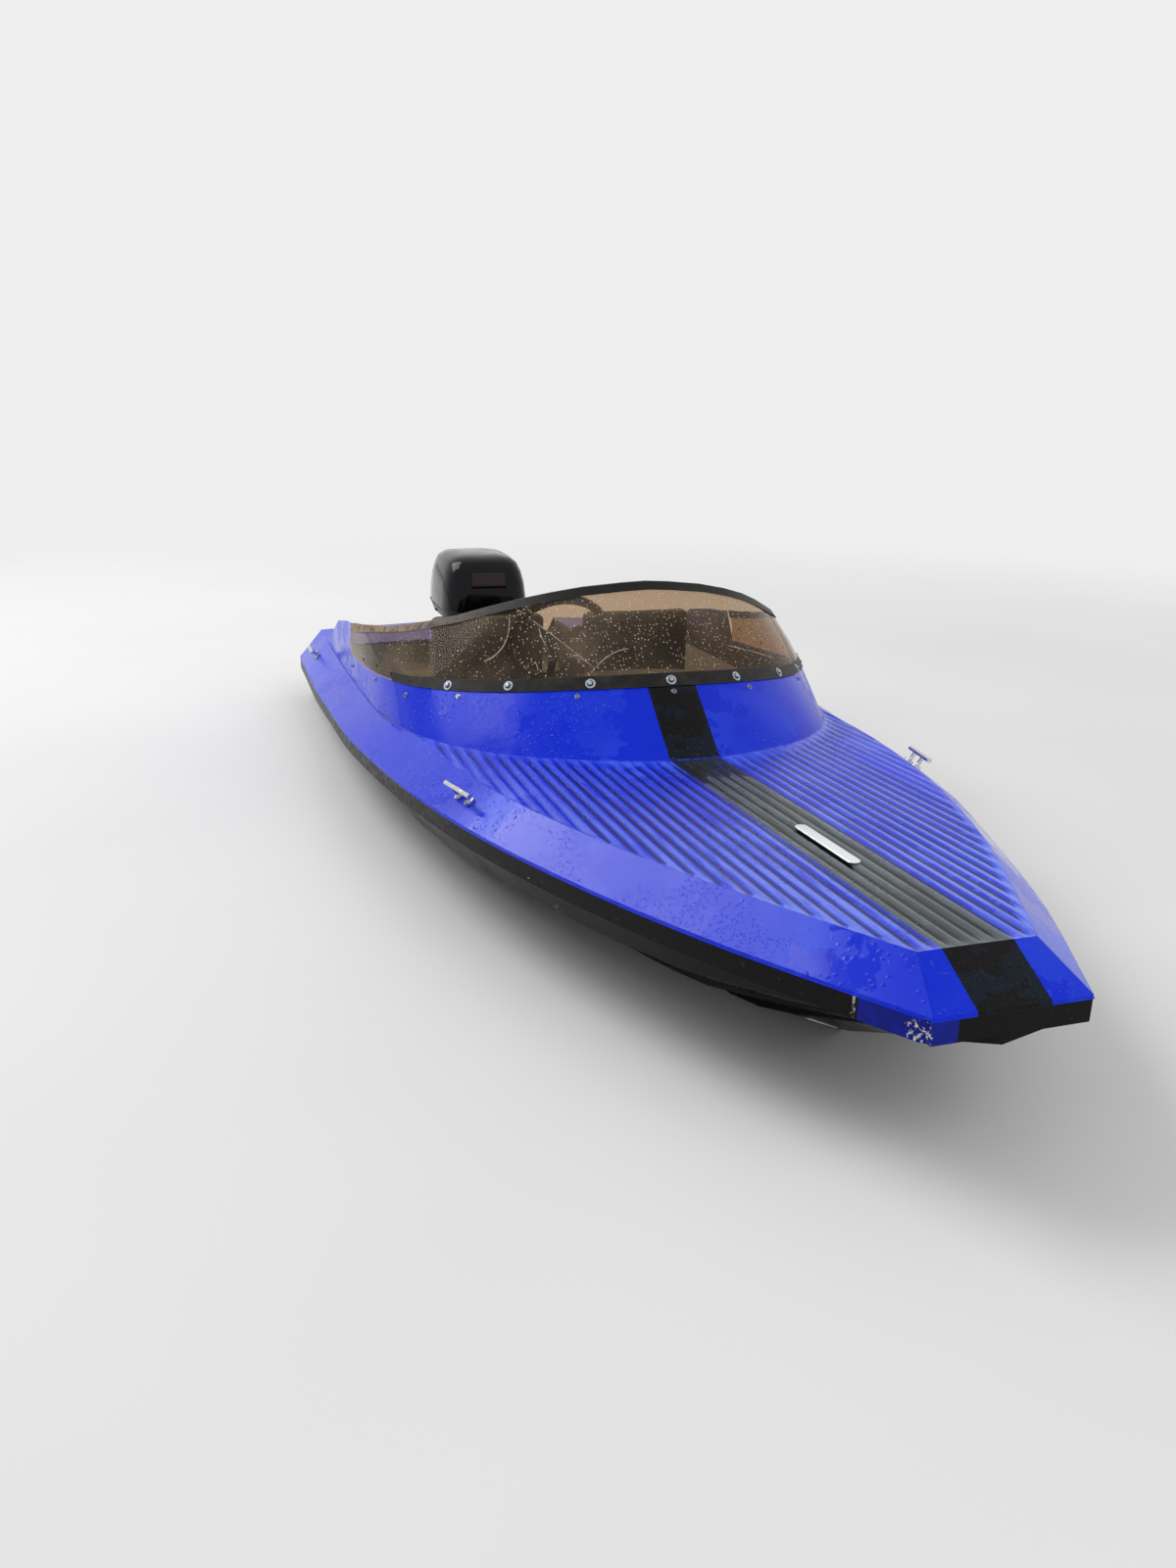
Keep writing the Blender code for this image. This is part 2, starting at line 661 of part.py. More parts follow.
def make_ribbed_panel(palette):
    """The foredeck's lengthwise ribs, fading out at the margin and before the coaming."""
    outline = [inner for edge, inner in margin_stations()]
    base = base_line()
    aft_end = outline[-1].y - SEAM
    reach = place_on(outline, aft_end - OVERRUN / 2) - SEAM
    shelf_start = outline[-1].x - SHELF_WIDTH - 2 * SEAM
    bm = bmesh.new()
    tops, bottoms = [], []
    for x in rib_columns(reach):
        half = abs(x)
        front = (length_on(outline, half + SEAM) if half > outline[0].x - SEAM else outline[0].y) + SEAM
        seat = length_on([p for p in base if p.x < reach + HALF_BEAM / 10], half)
        back = aft_end if half > shelf_start else max(seat, front + OVERRUN) + PANEL_LAP
        length = seat - front
        lead = min(RIB_FADE_FRONT, length * 0.3)
        tail = min(RIB_FADE_BACK, length * 0.3)
        steps = ((front, 0.0), (front + lead / 2, 0.7), (front + lead, 1.0),
                 (seat - tail, 1.0), (seat - tail / 4, 0.25), (seat, 0.0), (back, 0.0))
        if length < OVERRUN:
            steps = tuple((front + (back - front) * k / 6, 0.0) for k in range(7))
        crown = [Vector((x, y, deck_top(x, y) - rib_drop(x) * depth)) for y, depth in steps]
        tops.append([bm.verts.new(point) for point in crown])
        depth = RIB_DEPTH + DECK_WALL
        under = [Vector((x, y, deck_top(x, y) - depth)) for y in (front, back)]
        bottoms.append([bm.verts.new(point) for point in under])
    strip(bm, tops)
    strip(bm, bottoms)
    for end in (0, -1):
        strip(bm, [(top[end], bottom[end]) for top, bottom in zip(tops, bottoms)])
        bm.faces.new(tops[end] + list(reversed(bottoms[end])))
    panel = finish(bm, "foredeck_ribbed", palette["blue"], smooth=True)
    panel.data.materials.append(palette["charcoal"])
    paint_stripe(panel)


def paint_stripe(target):
    """Colours the faces of the middle stripe, but no end face as wide as the piece."""
    for face in target.data.polygons:
        if abs(face.center.x) < STRIPE_HALF and len(face.vertices) == 4:
            face.material_index = 1


def make_stern_deck(palette):
    """Two flat corners beside the motor well."""
    front = at_length(BENCH_BACK_SHARE) + BULKHEAD_WALL + 2 * SEAM
    back = STERN_Y
    for side, name in ((1, "port"), (-1, "starboard")):
        rows = []
        for y in (front, back):
            outer = crease((y - BOW_Y) / HULL_LENGTH).x - SHELF_WIDTH - 2 * SEAM
            inner = WELL_HALF + SEAM
            top = [Vector((inner, y, deck_top(inner, y))), Vector((outer, y, deck_top(outer, y)))]
            outline = top + [dropped(point, DECK_WALL) for point in reversed(top)]
            rows.append([Vector((p.x * side, p.y, p.z)) for p in outline])
        lofted(f"stern_deck_{name}", rows, palette["blue"])


# Coaming and screen

def screen_lines():
    """Base, foot and edge of the screen, from the port fin round the front to starboard."""
    base = base_line()
    rows = []
    for row, low in zip(SCREEN_SHARES, base):
        foot = Vector((row[2] * HALF_BEAM, at_length(row[3]), row[4] * BOW_HEIGHT))
        edge = Vector((row[5] * HALF_BEAM, at_length(row[6]), row[7] * BOW_HEIGHT))
        rows.append((low, foot, edge))
    for row, low in zip(FIN_SHARES, base[len(SCREEN_SHARES):]):
        top = Vector((row[2] * HALF_BEAM, at_length(row[3]), row[4] * BOW_HEIGHT))
        rows.append((low, top, None))
    other = [tuple(mirrored(p) if p else None for p in row) for row in rows[1:]]
    return list(reversed(rows)) + other


def outward_normals(points):
    """Level normals of a line that runs from port round the bow side to starboard."""
    normals = []
    for k in range(len(points)):
        before, after = points[max(k - 1, 0)], points[min(k + 1, len(points) - 1)]
        run = after - before
        normals.append(Vector((-run.y, run.x, 0)).normalized())
    return normals


def wall_between(low, high, outer, inner):
    """Sections of a wall between two lines, from one offset to another along its normals."""
    normals = outward_normals([(a + b) / 2 for a, b in zip(low, high)])
    return [[a + n * outer, b + n * outer, b + n * inner, a + n * inner]
            for a, b, n in zip(low, high, normals)]


def make_coaming(palette):
    lines = screen_lines()
    low = [row[0] for row in lines]
    high = [row[1] for row in lines]
    sections = wall_between(low, high, 0, -COAMING_WALL)
    for section in sections:
        section[3].z = deck_top(section[3].x, section[3].y) + SEAM
    coaming = lofted("coaming", sections, palette["blue"], smooth=True)
    coaming.data.materials.append(palette["charcoal"])
    paint_stripe(coaming)


def screen_only():
    lines = [row for row in screen_lines() if row[2]]
    return [row[1] for row in lines], [row[2] for row in lines]


def on_screen(foot, edge, normal, distance):
    """A point on the screen's outer face, a distance up from its foot: the face bulges halfway."""
    up = edge - foot
    place = distance / up.length
    return foot + up * place + normal * SCREEN_BULGE * 4 * place * (1 - place)


def screen_stations():
    feet, edges = screen_only()
    normals = outward_normals([(a + b) / 2 for a, b in zip(feet, edges)])
    return list(zip(feet, edges, normals))


def make_screen(palette):
    sections = []
    for foot, edge, n in screen_stations():
        length = (edge - foot).length
        heights = (SEAM, BAND_HEIGHT, length / 2, length - TRIM_HEIGHT, length)
        face = [on_screen(foot, edge, n, height) for height in heights]
        sections.append(face + [point - n * SCREEN_WALL for point in reversed(face)])
    lofted("windscreen", sections, palette["bronze"], smooth=True, split=True)


def make_band(palette):
    """The rubber band over the screen's foot, on its outside."""
    sections = []
    for foot, edge, n in screen_stations()[BAND_SKIP:-BAND_SKIP]:
        low = on_screen(foot, edge, n, SEAM)
        high = on_screen(foot, edge, n, BAND_HEIGHT)
        near, far = n * 2 * SEAM, n * (2 * SEAM + BAND_WALL)
        sections.append([low + near, high + near, high + far, low + far])
    lofted("screen_foot_band", sections, palette["rubber"], smooth=True, split=True)


def make_trim(palette):
    """The rubber channel over the screen's upper edge."""
    sections = []
    for foot, edge, n in screen_stations():
        length = (edge - foot).length
        up = (edge - foot).normalized()
        low = on_screen(foot, edge, n, length - TRIM_HEIGHT)
        near, far = n * 2 * SEAM, n * (2 * SEAM + TRIM_WALL)
        back = -n * SCREEN_WALL
        top = up * TRIM_WALL
        sections.append([
            low + near, edge + near + up * SEAM, edge + back - near + up * SEAM, low + back - near,
            low + back - far, edge + back - far + top, edge + far + top, low + far,
        ])
    lofted("screen_top_trim", sections, palette["rubber"], smooth=True, split=True)


# Cockpit

def sole_half(share):
    """Half the sole's width where its underside meets the bottom of the hull."""
    sheer, chine, keel, *rest = hull_inner(share, at_length(share))
    rise = (SOLE_TOP - SOLE_WALL - keel.z) / (chine.z - keel.z)
    return chine.x * rise - SOLE_GAP


def make_sole(palette):
    stations = [share for share in edge_shares() if SOLE_FRONT_SHARE < share < BENCH_BACK_SHARE]
    rows = []
    for share in [*stations, BENCH_BACK_SHARE]:
        x, y = sole_half(share), at_length(share)
        rows.append([Vector((-x, y, SOLE_TOP)), Vector((x, y, SOLE_TOP)),
                     Vector((x, y, SOLE_TOP - SOLE_WALL)), Vector((-x, y, SOLE_TOP - SOLE_WALL))])
    lofted("cockpit_sole", rows, palette["grey"])


def make_liners(palette):
    """The sides of the cockpit between the sole and the side decks."""
    for side, name in ((1, "port"), (-1, "starboard")):
        rows = []
        for share in LINER_STATION_SHARES:
            y = at_length(share)
            low_x = sole_half(share) - LINER_WALL
            high_x = crease(share).x - SHELF_WIDTH + LINER_WALL
            top = deck_top(high_x, y) - DECK_WALL - 2 * SEAM
            outline = [(low_x - LINER_WALL, SOLE_TOP + SEAM), (low_x, SOLE_TOP + SEAM),
                       (high_x, top - LINER_WALL), (high_x, top), (high_x - LINER_WALL, top)]
            rows.append([Vector((x * side, y, z)) for x, z in outline])
        lofted(f"cockpit_liner_{name}", rows, palette["grey"])


def screen_foot():
    """The port half of the screen's foot, from the centreline outwards."""
    foot = [row[1] for row in screen_lines() if row[2] and row[1].x >= 0]
    return sorted(foot, key=lambda point: point.x)


def dash_height(x):
    foot = screen_foot()
    side = foot[DASH_REACH_ROW]
    return foot[0].z - BAND_HEIGHT - (foot[0].z - side.z) * (x / side.x) ** 2


def dash_lean():
    return DASH_DROP * DASH_LEAN_SHARE


def make_dashboard(palette):
    """A shelf from the coaming aft, with a flat face that leans towards the crew."""
    lines = screen_lines()
    normals = outward_normals([(row[0] + row[1]) / 2 for row in lines])
    middle = len(lines) // 2
    back, lean = at_length(DASH_BACK_SHARE), dash_lean()
    rows = []
    for k in range(middle - DASH_REACH_ROW, middle + DASH_REACH_ROW + 1):
        low, foot = lines[k][:2]
        top = dash_height(foot.x)
        seat = low + (foot - low) * (top - low.z) / (foot.z - low.z)
        x, front, _ = seat - normals[k] * (COAMING_WALL + DASH_GAP)
        rim = back - (dash_height(0) - top) * DASH_LEAN_SHARE
        under = top - DASH_DROP
        rows.append([
            Vector((x, front, top)), Vector((x, rim, top)), Vector((x, rim - lean, under)),
            Vector((x, rim - lean - DASH_WALL, under)), Vector((x, rim - DASH_WALL, top - DASH_WALL)),
            Vector((x, front, top - DASH_WALL)),
        ])
    lofted("dashboard", rows, palette["vinyl"])


def rounded_box(name, low, high, radius, material):
    bm = bmesh.new()
    box(bm, low, high)
    bmesh.ops.bevel(bm, geom=list(bm.edges), offset=radius, segments=2, profile=0.5, affect="EDGES",
                    material=-1)
    return finish(bm, name, material, smooth=True)


def make_seats(palette):
    """Two forward-facing seats on moulded plinths."""
    front = at_length(SEAT_FRONT_SHARE)
    back = front + SEAT_DEPTH + BACK_THICKNESS
    edge = CUSHION / 5
    plinth_top = SOLE_TOP + SEAT_PLINTH
    for side, name in ((-1, "driver"), (1, "passenger")):
        left = side * SEAT_CENTRE - SEAT_WIDTH / 2
        right = side * SEAT_CENTRE + SEAT_WIDTH / 2
        bm = bmesh.new()
        box(bm, (left + PLINTH_INSET, front + PLINTH_INSET, SOLE_TOP + SEAM),
            (right - PLINTH_INSET, back, plinth_top))
        finish(bm, f"{name}_seat_plinth", palette["grey"])
        rounded_box(f"{name}_seat_cushion", (left, front, plinth_top + SEAM),
                    (right, front + SEAT_DEPTH, plinth_top + CUSHION), edge, palette["vinyl"])
        rounded_box(f"{name}_seat_back", (left, front + SEAT_DEPTH + SEAM, plinth_top + SEAM),
                    (right, back, BACK_TOP), edge, palette["vinyl"])


def make_bench(palette):
    back = at_length(BENCH_BACK_SHARE) - SEAM
    half = sole_half(BENCH_BACK_SHARE) - 2 * LINER_WALL - OVERRUN
    rounded_box("rear_bench", (-half, back - BENCH_DEPTH, SOLE_TOP + SEAM), (half, back, BENCH_TOP),
                CUSHION / 5, palette["vinyl"])


def make_bulkhead(palette):
    """Closes the cockpit aft, under the stern deck and in front of the motor well."""
    y = at_length(BENCH_BACK_SHARE)
    low_x = sole_half(BENCH_BACK_SHARE) - OVERRUN
    high_x = crease(BENCH_BACK_SHARE).x - SHELF_WIDTH + LINER_WALL
    top = deck_top(high_x, y) - DECK_WALL - 2 * SEAM
    outline = [(-low_x, SOLE_TOP - SOLE_WALL), (low_x, SOLE_TOP - SOLE_WALL), (high_x, top), (-high_x, top)]
    rows = [[Vector((x, y + depth, z)) for x, z in outline] for depth in (SEAM, SEAM + BULKHEAD_WALL)]
    lofted("cockpit_bulkhead", rows, palette["grey"])


def make_well(palette):
    """A tray in front of the transom for the motor to tilt over."""
    back = STERN_Y - TRANSOM_WALL - SEAM
    front = back - WELL_LENGTH
    top = deck_top(WELL_HALF, front)
    bm = bmesh.new()
    box(bm, (-WELL_HALF, front, WELL_FLOOR - WELL_WALL), (WELL_HALF, back, top))
    tray = finish(bm, "motor_well", palette["blue"])
    bm = bmesh.new()
    box(bm, (-WELL_HALF + WELL_WALL, front + WELL_WALL, WELL_FLOOR),
        (WELL_HALF - WELL_WALL, back + OVERRUN, top + OVERRUN))
    combine(tray, helper_of(bm, "motor_well_space"), "DIFFERENCE")


def cleat_bar(bm):
    """The horns, along Y, above a flat deck at z = 0."""
    rod(bm, (0, -CLEAT_LENGTH / 2, CLEAT_HEIGHT), (0, CLEAT_LENGTH / 2, CLEAT_HEIGHT), CLEAT_RADIUS, 10)


def cleat_leg(bm, end):
    y = end * CLEAT_LENGTH / 5
    top = CLEAT_HEIGHT - CLEAT_RADIUS / 3
    rod(bm, (0, y, CLEAT_RADIUS / 2), (0, y, top), CLEAT_RADIUS * 0.8, 10)


def cleat_foot(bm, end):
    y = end * CLEAT_LENGTH / 5
    rod(bm, (0, y, 0), (0, y, CLEAT_RADIUS), CLEAT_RADIUS * 2, 12)


def margin_frame(share, side, lift):
    """A place on the middle of the sloping border, with X across, Y aft and Z out of the deck."""
    y = at_length(share)
    pairs = margin_stations() + side_deck_stations()[1:]
    middles = [((edge + inner) / 2, edge - inner) for edge, inner in pairs]
    for (first, slope_a), (second, slope_b) in zip(middles, middles[1:]):
        if first.y <= y <= second.y:
            break
    t = (y - first.y) / (second.y - first.y)
    across = slope_a.lerp(slope_b, t).normalized()
    aft = (second - first).normalized()
    up = across.cross(aft).normalized()
    across = aft.cross(up)
    spot = first.lerp(second, t) + up * lift
    flip = Matrix.Diagonal((side, 1, 1, 1))
    turn = Matrix((across, aft, up)).transposed().to_4x4()
    return flip @ Matrix.Translation(spot) @ turn @ flip


def make_cleats(palette):
    """Horn cleats on the sloping margins, in line with the deck's edge."""
    for place, share in CLEAT_SHARES.items():
        for side, name in ((1, "port"), (-1, "starboard")):
            cleat = united(f"cleat_{place}_{name}", (
                cleat_bar,
                lambda bm: cleat_leg(bm, -1),
                lambda bm: cleat_leg(bm, 1),
                lambda bm: cleat_foot(bm, -1),
                lambda bm: cleat_foot(bm, 1),
            ), palette["steel"], smooth=True)
            cleat.matrix_world = margin_frame(share, side, CLEAT_LIFTS[place])


# Steering

def wheel_axis():
    return Vector((0, math.cos(WHEEL_RAKE), math.sin(WHEEL_RAKE)))


def wheel_centre():
    return Vector((WHEEL_X, WHEEL_Y, WHEEL_Z))


def wheel_frame():
    """Across, up the wheel's face, and along its axis towards the driver."""
    across, axis = Vector((1, 0, 0)), wheel_axis()
    return across, axis.cross(across), axis


def circle(centre, across, upward, radius, sides):
    angles = [2 * math.pi * k / sides for k in range(sides)]
    return [centre + (across * math.cos(a) + upward * math.sin(a)) * radius for a in angles]


def make_column(palette):
    """A bezel on the dashboard's face, and the tube from it to the steering wheel."""
    across, upward, axis = wheel_frame()
    face_point = Vector((WHEEL_X, at_length(DASH_BACK_SHARE), dash_height(0)))
    face_normal = Vector((0, DASH_DROP, -dash_lean())).normalized()
    end = wheel_centre() - axis * (HUB_HALF + RUNNING_GAP)

    def on_dash(radius, stand_off):
        points = circle(end, across, upward, radius, COLUMN_SIDES)
        reaches = [((p - face_point).dot(face_normal) - stand_off) / axis.dot(face_normal) for p in points]
        return [p - axis * reach for p, reach in zip(points, reaches)]

    lofted("steering_column", [
        on_dash(BEZEL_RADIUS, SEAM), on_dash(BEZEL_RADIUS, BEZEL_WALL),
        on_dash(COLUMN_RADIUS, 2 * BEZEL_WALL), circle(end, across, upward, COLUMN_RADIUS, COLUMN_SIDES),
    ], palette["rubber"], smooth=True)


def wheel_rim(bm):
    sections = []
    for k in range(RIM_SPANS):
        turn = 2 * math.pi * k / RIM_SPANS
        outward = Vector((math.cos(turn), math.sin(turn), 0))
        middle = outward * (WHEEL_RADIUS - RIM_RADIUS)
        sections.append(circle(middle, outward, Vector((0, 0, 1)), RIM_RADIUS, RIM_SIDES))
    skin(bm, sections, closed_path=True)


def wheel_hub(bm):
    rod(bm, (0, 0, -HUB_HALF), (0, 0, HUB_HALF), HUB_RADIUS, COLUMN_SIDES)


def wheel_spoke(bm, degrees):
    box(bm, (HUB_RADIUS / 2, -SPOKE_WIDTH / 2, -SPOKE_WALL / 2),
        (WHEEL_RADIUS - RIM_RADIUS, SPOKE_WIDTH / 2, SPOKE_WALL / 2))
    turn = Matrix.Rotation(math.radians(degrees), 4, "Z")
    bmesh.ops.transform(bm, matrix=turn, verts=bm.verts)


def make_wheel(palette):
    spokes = [lambda bm, degrees=degrees: wheel_spoke(bm, degrees) for degrees in SPOKE_ANGLES]
    wheel = united("steering_wheel", [wheel_rim, wheel_hub, *spokes], palette["rubber"], smooth=True)
    turn = Matrix(wheel_frame()).transposed().to_4x4()
    wheel.matrix_world = Matrix.Translation(wheel_centre()) @ turn


# Outboard motor: the clamp on the transom

def plate_of(bm, outline, low_x, high_x):
    """A plate across X from an outline of places along Y and Z."""
    skin(bm, [[Vector((x, y, z)) for y, z in outline] for x in (low_x, high_x)])


def arc(centre, radius, start, end, steps):
    """Points of an arc around a pair of values, from one angle to another, in degrees."""
    points = []
    for k in range(steps + 1):
        angle = math.radians(start + (end - start) * k / steps)
        points.append((centre[0] + radius * math.cos(angle), centre[1] + radius * math.sin(angle)))
    return points


def tilt_axis():
    return Vector((0, STERN_Y, TRANSOM_TOP + TUBE_HEIGHT))


def pin_y():
    return STERN_Y + SWIVEL_BACK


def cheek_outline():
    """One side of the clamp, over the transom, with its boss round the tilt tube."""
    face = STERN_Y + 2 * SEAM
    inboard = STERN_Y - TRANSOM_WALL - ARM_STAND_OFF
    bridge = TRANSOM_TOP + 2 * SEAM
    axis = tilt_axis()
    boss = arc((axis.y, axis.z), CHEEK_BOSS, 0, 180, 6)
    foot = TRANSOM_TOP - SWIVEL_DROP
    crest = bridge + BRIDGE_RISE
    return [
        (face, foot), (face + CHEEK_DEPTH / 2, foot), (face + CHEEK_DEPTH, TRANSOM_TOP - THRUST_DROP),
        (face + CHEEK_DEPTH / 2, TRANSOM_TOP - CLAMP_DROP / 2), *boss,
        (STERN_Y - TRANSOM_WALL, crest), (inboard - ARM_WALL / 2, crest), (inboard - ARM_WALL, bridge),
        (inboard - ARM_WALL, TRANSOM_TOP - CLAMP_DROP), (inboard, TRANSOM_TOP - CLAMP_DROP),
        (inboard, bridge), (face, bridge),
    ]


def clamp_cheek(bm, side):
    plate_of(bm, cheek_outline(), side * CHEEK_X, side * (CHEEK_X + CHEEK_WALL))


def tilt_tube(bm):
    reach = Vector((TUBE_HALF, 0, 0))
    rod(bm, tilt_axis() - reach, tilt_axis() + reach, TUBE_RADIUS, 20)


def thrust_rod(bm):
    """The rod that the swivel bracket rests on, just in front of the housing."""
    y = pin_y() - SWIVEL_RADIUS - THRUST_RADIUS - RUNNING_GAP
    height = TRANSOM_TOP - THRUST_DROP
    reach = CHEEK_X + CHEEK_WALL + THRUST_RADIUS
    rod(bm, (-reach, y, height), (reach, y, height), THRUST_RADIUS, 14)


def screw_place(side, from_transom):
    return Vector((side * (CHEEK_X + CHEEK_WALL / 2), STERN_Y - TRANSOM_WALL - from_transom,
                   TRANSOM_TOP - CLAMP_SCREW_DROP))


def clamp_screw(bm, side):
    rod(bm, screw_place(side, CLAMP_SCREW_LENGTH), screw_place(side, CLAMP_PAD_WALL / 2),
        CLAMP_SCREW_RADIUS, 12)


def clamp_pad(bm, side):
    rod(bm, screw_place(side, CLAMP_PAD_WALL), screw_place(side, 2 * SEAM), CLAMP_PAD_RADIUS, 16)


def clamp_handle(bm, side):
    middle = screw_place(side, CLAMP_SCREW_LENGTH)
    reach = Vector((0, 0, CLAMP_HANDLE / 2))
    rod(bm, middle - reach, middle + reach, CLAMP_SCREW_RADIUS * 0.8, 12)


def make_clamp(palette):
    """Two cheeks over the transom, joined by the tilt tube and the thrust rod."""
    parts = [tilt_tube, thrust_rod]
    for side in (-1, 1):
        parts += [lambda bm, side=side, shape=shape: shape(bm, side)
                  for shape in (clamp_cheek, clamp_screw, clamp_pad, clamp_handle)]
    united("clamp_bracket", parts, palette["casting"], smooth=True)


# Outboard motor: the bracket that tilts

def swivel_sleeve(bm):
    reach = Vector((SLEEVE_HALF, 0, 0))
    rod(bm, tilt_axis() - reach, tilt_axis() + reach, SLEEVE_RADIUS, 24)


def swivel_housing(bm):
    rod(bm, (0, pin_y(), TRANSOM_TOP - SWIVEL_DROP), (0, pin_y(), TRANSOM_TOP + SWIVEL_RISE),
        SWIVEL_RADIUS, 24)


def swivel_web(bm):
    """The casting between the sleeve and the housing."""
    axis = tilt_axis()
    outline = [
        (axis.y, axis.z - SLEEVE_RADIUS * 0.9), (pin_y() - SWIVEL_RADIUS / 2, TRANSOM_TOP - CLAMP_DROP / 2),
        (pin_y(), TRANSOM_TOP - CLAMP_DROP / 2), (pin_y(), TRANSOM_TOP + SWIVEL_RISE - RUNNING_GAP),
        (axis.y, axis.z + SLEEVE_RADIUS * 0.6),
    ]
    plate_of(bm, outline, -WEB_HALF, WEB_HALF)


def make_swivel(palette):
    bracket = united("swivel_bracket", (swivel_sleeve, swivel_housing, swivel_web), palette["casting"],
                     smooth=True)
    tube_reach = Vector((SLEEVE_HALF + OVERRUN, 0, 0))
    tube_bore = bmesh.new()
    rod(tube_bore, tilt_axis() - tube_reach, tilt_axis() + tube_reach, TUBE_RADIUS + RUNNING_GAP, 24)
    pin_bore = bmesh.new()
    rod(pin_bore, (0, pin_y(), TRANSOM_TOP - SWIVEL_DROP - OVERRUN),
        (0, pin_y(), TRANSOM_TOP + SWIVEL_RISE + OVERRUN), PIN_RADIUS + RUNNING_GAP, 24)
    for cutter, name in ((tube_bore, "swivel_tube_bore"), (pin_bore, "swivel_pin_bore")):
        helper = helper_of(cutter, name)
        helper.parent = bracket
        combine(bracket, helper, "DIFFERENCE")


# Outboard motor: the steered leg

def yoke_heights():
    """Bottom and top of the upper arm, then of the lower one."""
    upper = TRANSOM_TOP + SWIVEL_RISE + YOKE_GAP
    lower = TRANSOM_TOP - SWIVEL_DROP - LOWER_YOKE_GAP
    return upper, upper + YOKE_WALL, lower - YOKE_WALL, lower


def yoke_plate(bm, low, high, back, half):
    """A level arm with a round nose on the steering pin."""
    nose = arc((0, pin_y()), YOKE_RADIUS, 180, 360, 12)
    outline = nose + [(half, back), (-half, back)]
    skin(bm, [[Vector((x, y, z)) for x, y in outline] for z in (low, high)])


def foil(bm, levels):
    """A streamlined strut. Columns of levels: height, nose, chord, half thickness."""
    sections = []
    for height, nose, chord, half in levels:
        port = [(half * share, nose + chord * place) for place, share in FOIL_SHARES]
        loop = port + [(-x, y) for x, y in reversed(port[1:])]
        sections.append([Vector((x, y, height)) for x, y in loop])
    skin(bm, sections)


def plate_top():
    return along(HULL_SHARES, 1.0, 3) * BOW_HEIGHT - PLATE_BELOW_KEEL


def leg_foil(bm):
    low, high = yoke_heights()[2], yoke_heights()[1]
    nose = STERN_Y + LEG_FRONT
    foil(bm, (
        (plate_top() + 2 * SEAM, nose, LEG_CHORD, LEG_HALF * 0.62), (low, nose, LEG_CHORD, LEG_HALF),
        (TRANSOM_TOP, nose, LEG_CHORD, LEG_HALF),
        (high - YOKE_WALL / 4, nose, LEG_CHORD * 1.15, LEG_HALF * 1.15),
    ))


def make_leg(palette):
    """Two arms on the steering pin, and the leg between them and the gearcase."""
    upper_low, upper_high, lower_low, lower_high = yoke_heights()
    middle = STERN_Y + LEG_FRONT + LEG_CHORD / 2
    united("motor_leg", (
        leg_foil,
        lambda bm: yoke_plate(bm, upper_low, upper_high, middle, LEG_HALF * 1.2),
        lambda bm: yoke_plate(bm, lower_low, lower_high, middle, LEG_HALF * 0.8),
        lambda bm: rod(bm, (0, pin_y(), lower_low + YOKE_WALL / 2), (0, pin_y(), upper_high - YOKE_WALL / 2),
                       PIN_RADIUS, 20),
    ), palette["casting"], smooth=True)


# Outboard motor: cowling and engine

def cowl_middle():
    return STERN_Y + COWL_FRONT + COWL_LENGTH / 2


def cowl_ring(height, share, inset=0.0):
    """The cowling's plan at a height, drawn in round the middle of its length."""
    half_length = COWL_LENGTH / 2 * share - inset
    half_width = COWL_WIDTH / 2 * share - inset
    port = [Vector((half_width * across, cowl_middle() + half_length * (2 * place - 1), height))
            for place, across in COWL_PLAN_SHARES]
    return port + [mirrored(point) for point in reversed(port[1:-1])]


def pan_bottom():
    return yoke_heights()[1] + SEAM


def make_pan(palette):
    """The lower half of the cowling, an open tray."""
    low = pan_bottom()
    high = low + PAN_HEIGHT
    lofted("lower_pan", [
        cowl_ring(low + PAN_FLOOR, PAN_FOOT_SHARE, COWL_WALL), cowl_ring(high, 1.0, COWL_WALL),
        cowl_ring(high, 1.0), cowl_ring(low + PAN_HEIGHT / 3, PAN_WAIST_SHARE),
        cowl_ring(low, PAN_FOOT_SHARE),
    ], palette["casting"], smooth=True)


def make_cowl(palette):
    """The upper half of the cowling, a shell that is open below."""
    low = pan_bottom() + PAN_HEIGHT + SEAM
    rise = COWL_TOP - low
    outer = [cowl_ring(low + rise * up, share) for up, share in COWL_RISE_SHARES]
    inner = [cowl_ring(low + (rise - COWL_WALL) * up, share, COWL_WALL) for up, share in COWL_RISE_SHARES]
    lofted("upper_cowl", list(reversed(inner)) + outer, palette["gloss"], smooth=True)


def make_engine(palette):
    low = pan_bottom() + PAN_FLOOR + SEAM
    bm = bmesh.new()
    box(bm, (-BLOCK_WIDTH / 2, cowl_middle() - BLOCK_LENGTH / 2, low),
        (BLOCK_WIDTH / 2, cowl_middle() + BLOCK_LENGTH / 2, low + BLOCK_HEIGHT))
    finish(bm, "engine_block", palette["iron"])


# Outboard motor: gearcase and propeller

def turned(bm, profile, start, height, sides):
    """A body of round sections along Y. Columns of the profile: length, radius."""
    across, upward = Vector((1, 0, 0)), Vector((0, 0, 1))
    skin(bm, [circle(Vector((0, start + length, height)), across, upward, radius, sides)
              for length, radius in profile])


def gear_axis():
    return plate_top() - PLATE_WALL - GEAR_DROP


def cavitation_plate(bm):
    """The level plate above the propeller."""
    front = STERN_Y + PLATE_FRONT
    half = [(PLATE_HALF * across, front + PLATE_LENGTH * place) for place, across in PLATE_PLAN_SHARES]
    outline = half + [(-x, y) for x, y in reversed(half[1:-1])]
    skin(bm, [[Vector((x, y, z)) for x, y in outline] for z in (plate_top() - PLATE_WALL, plate_top())])


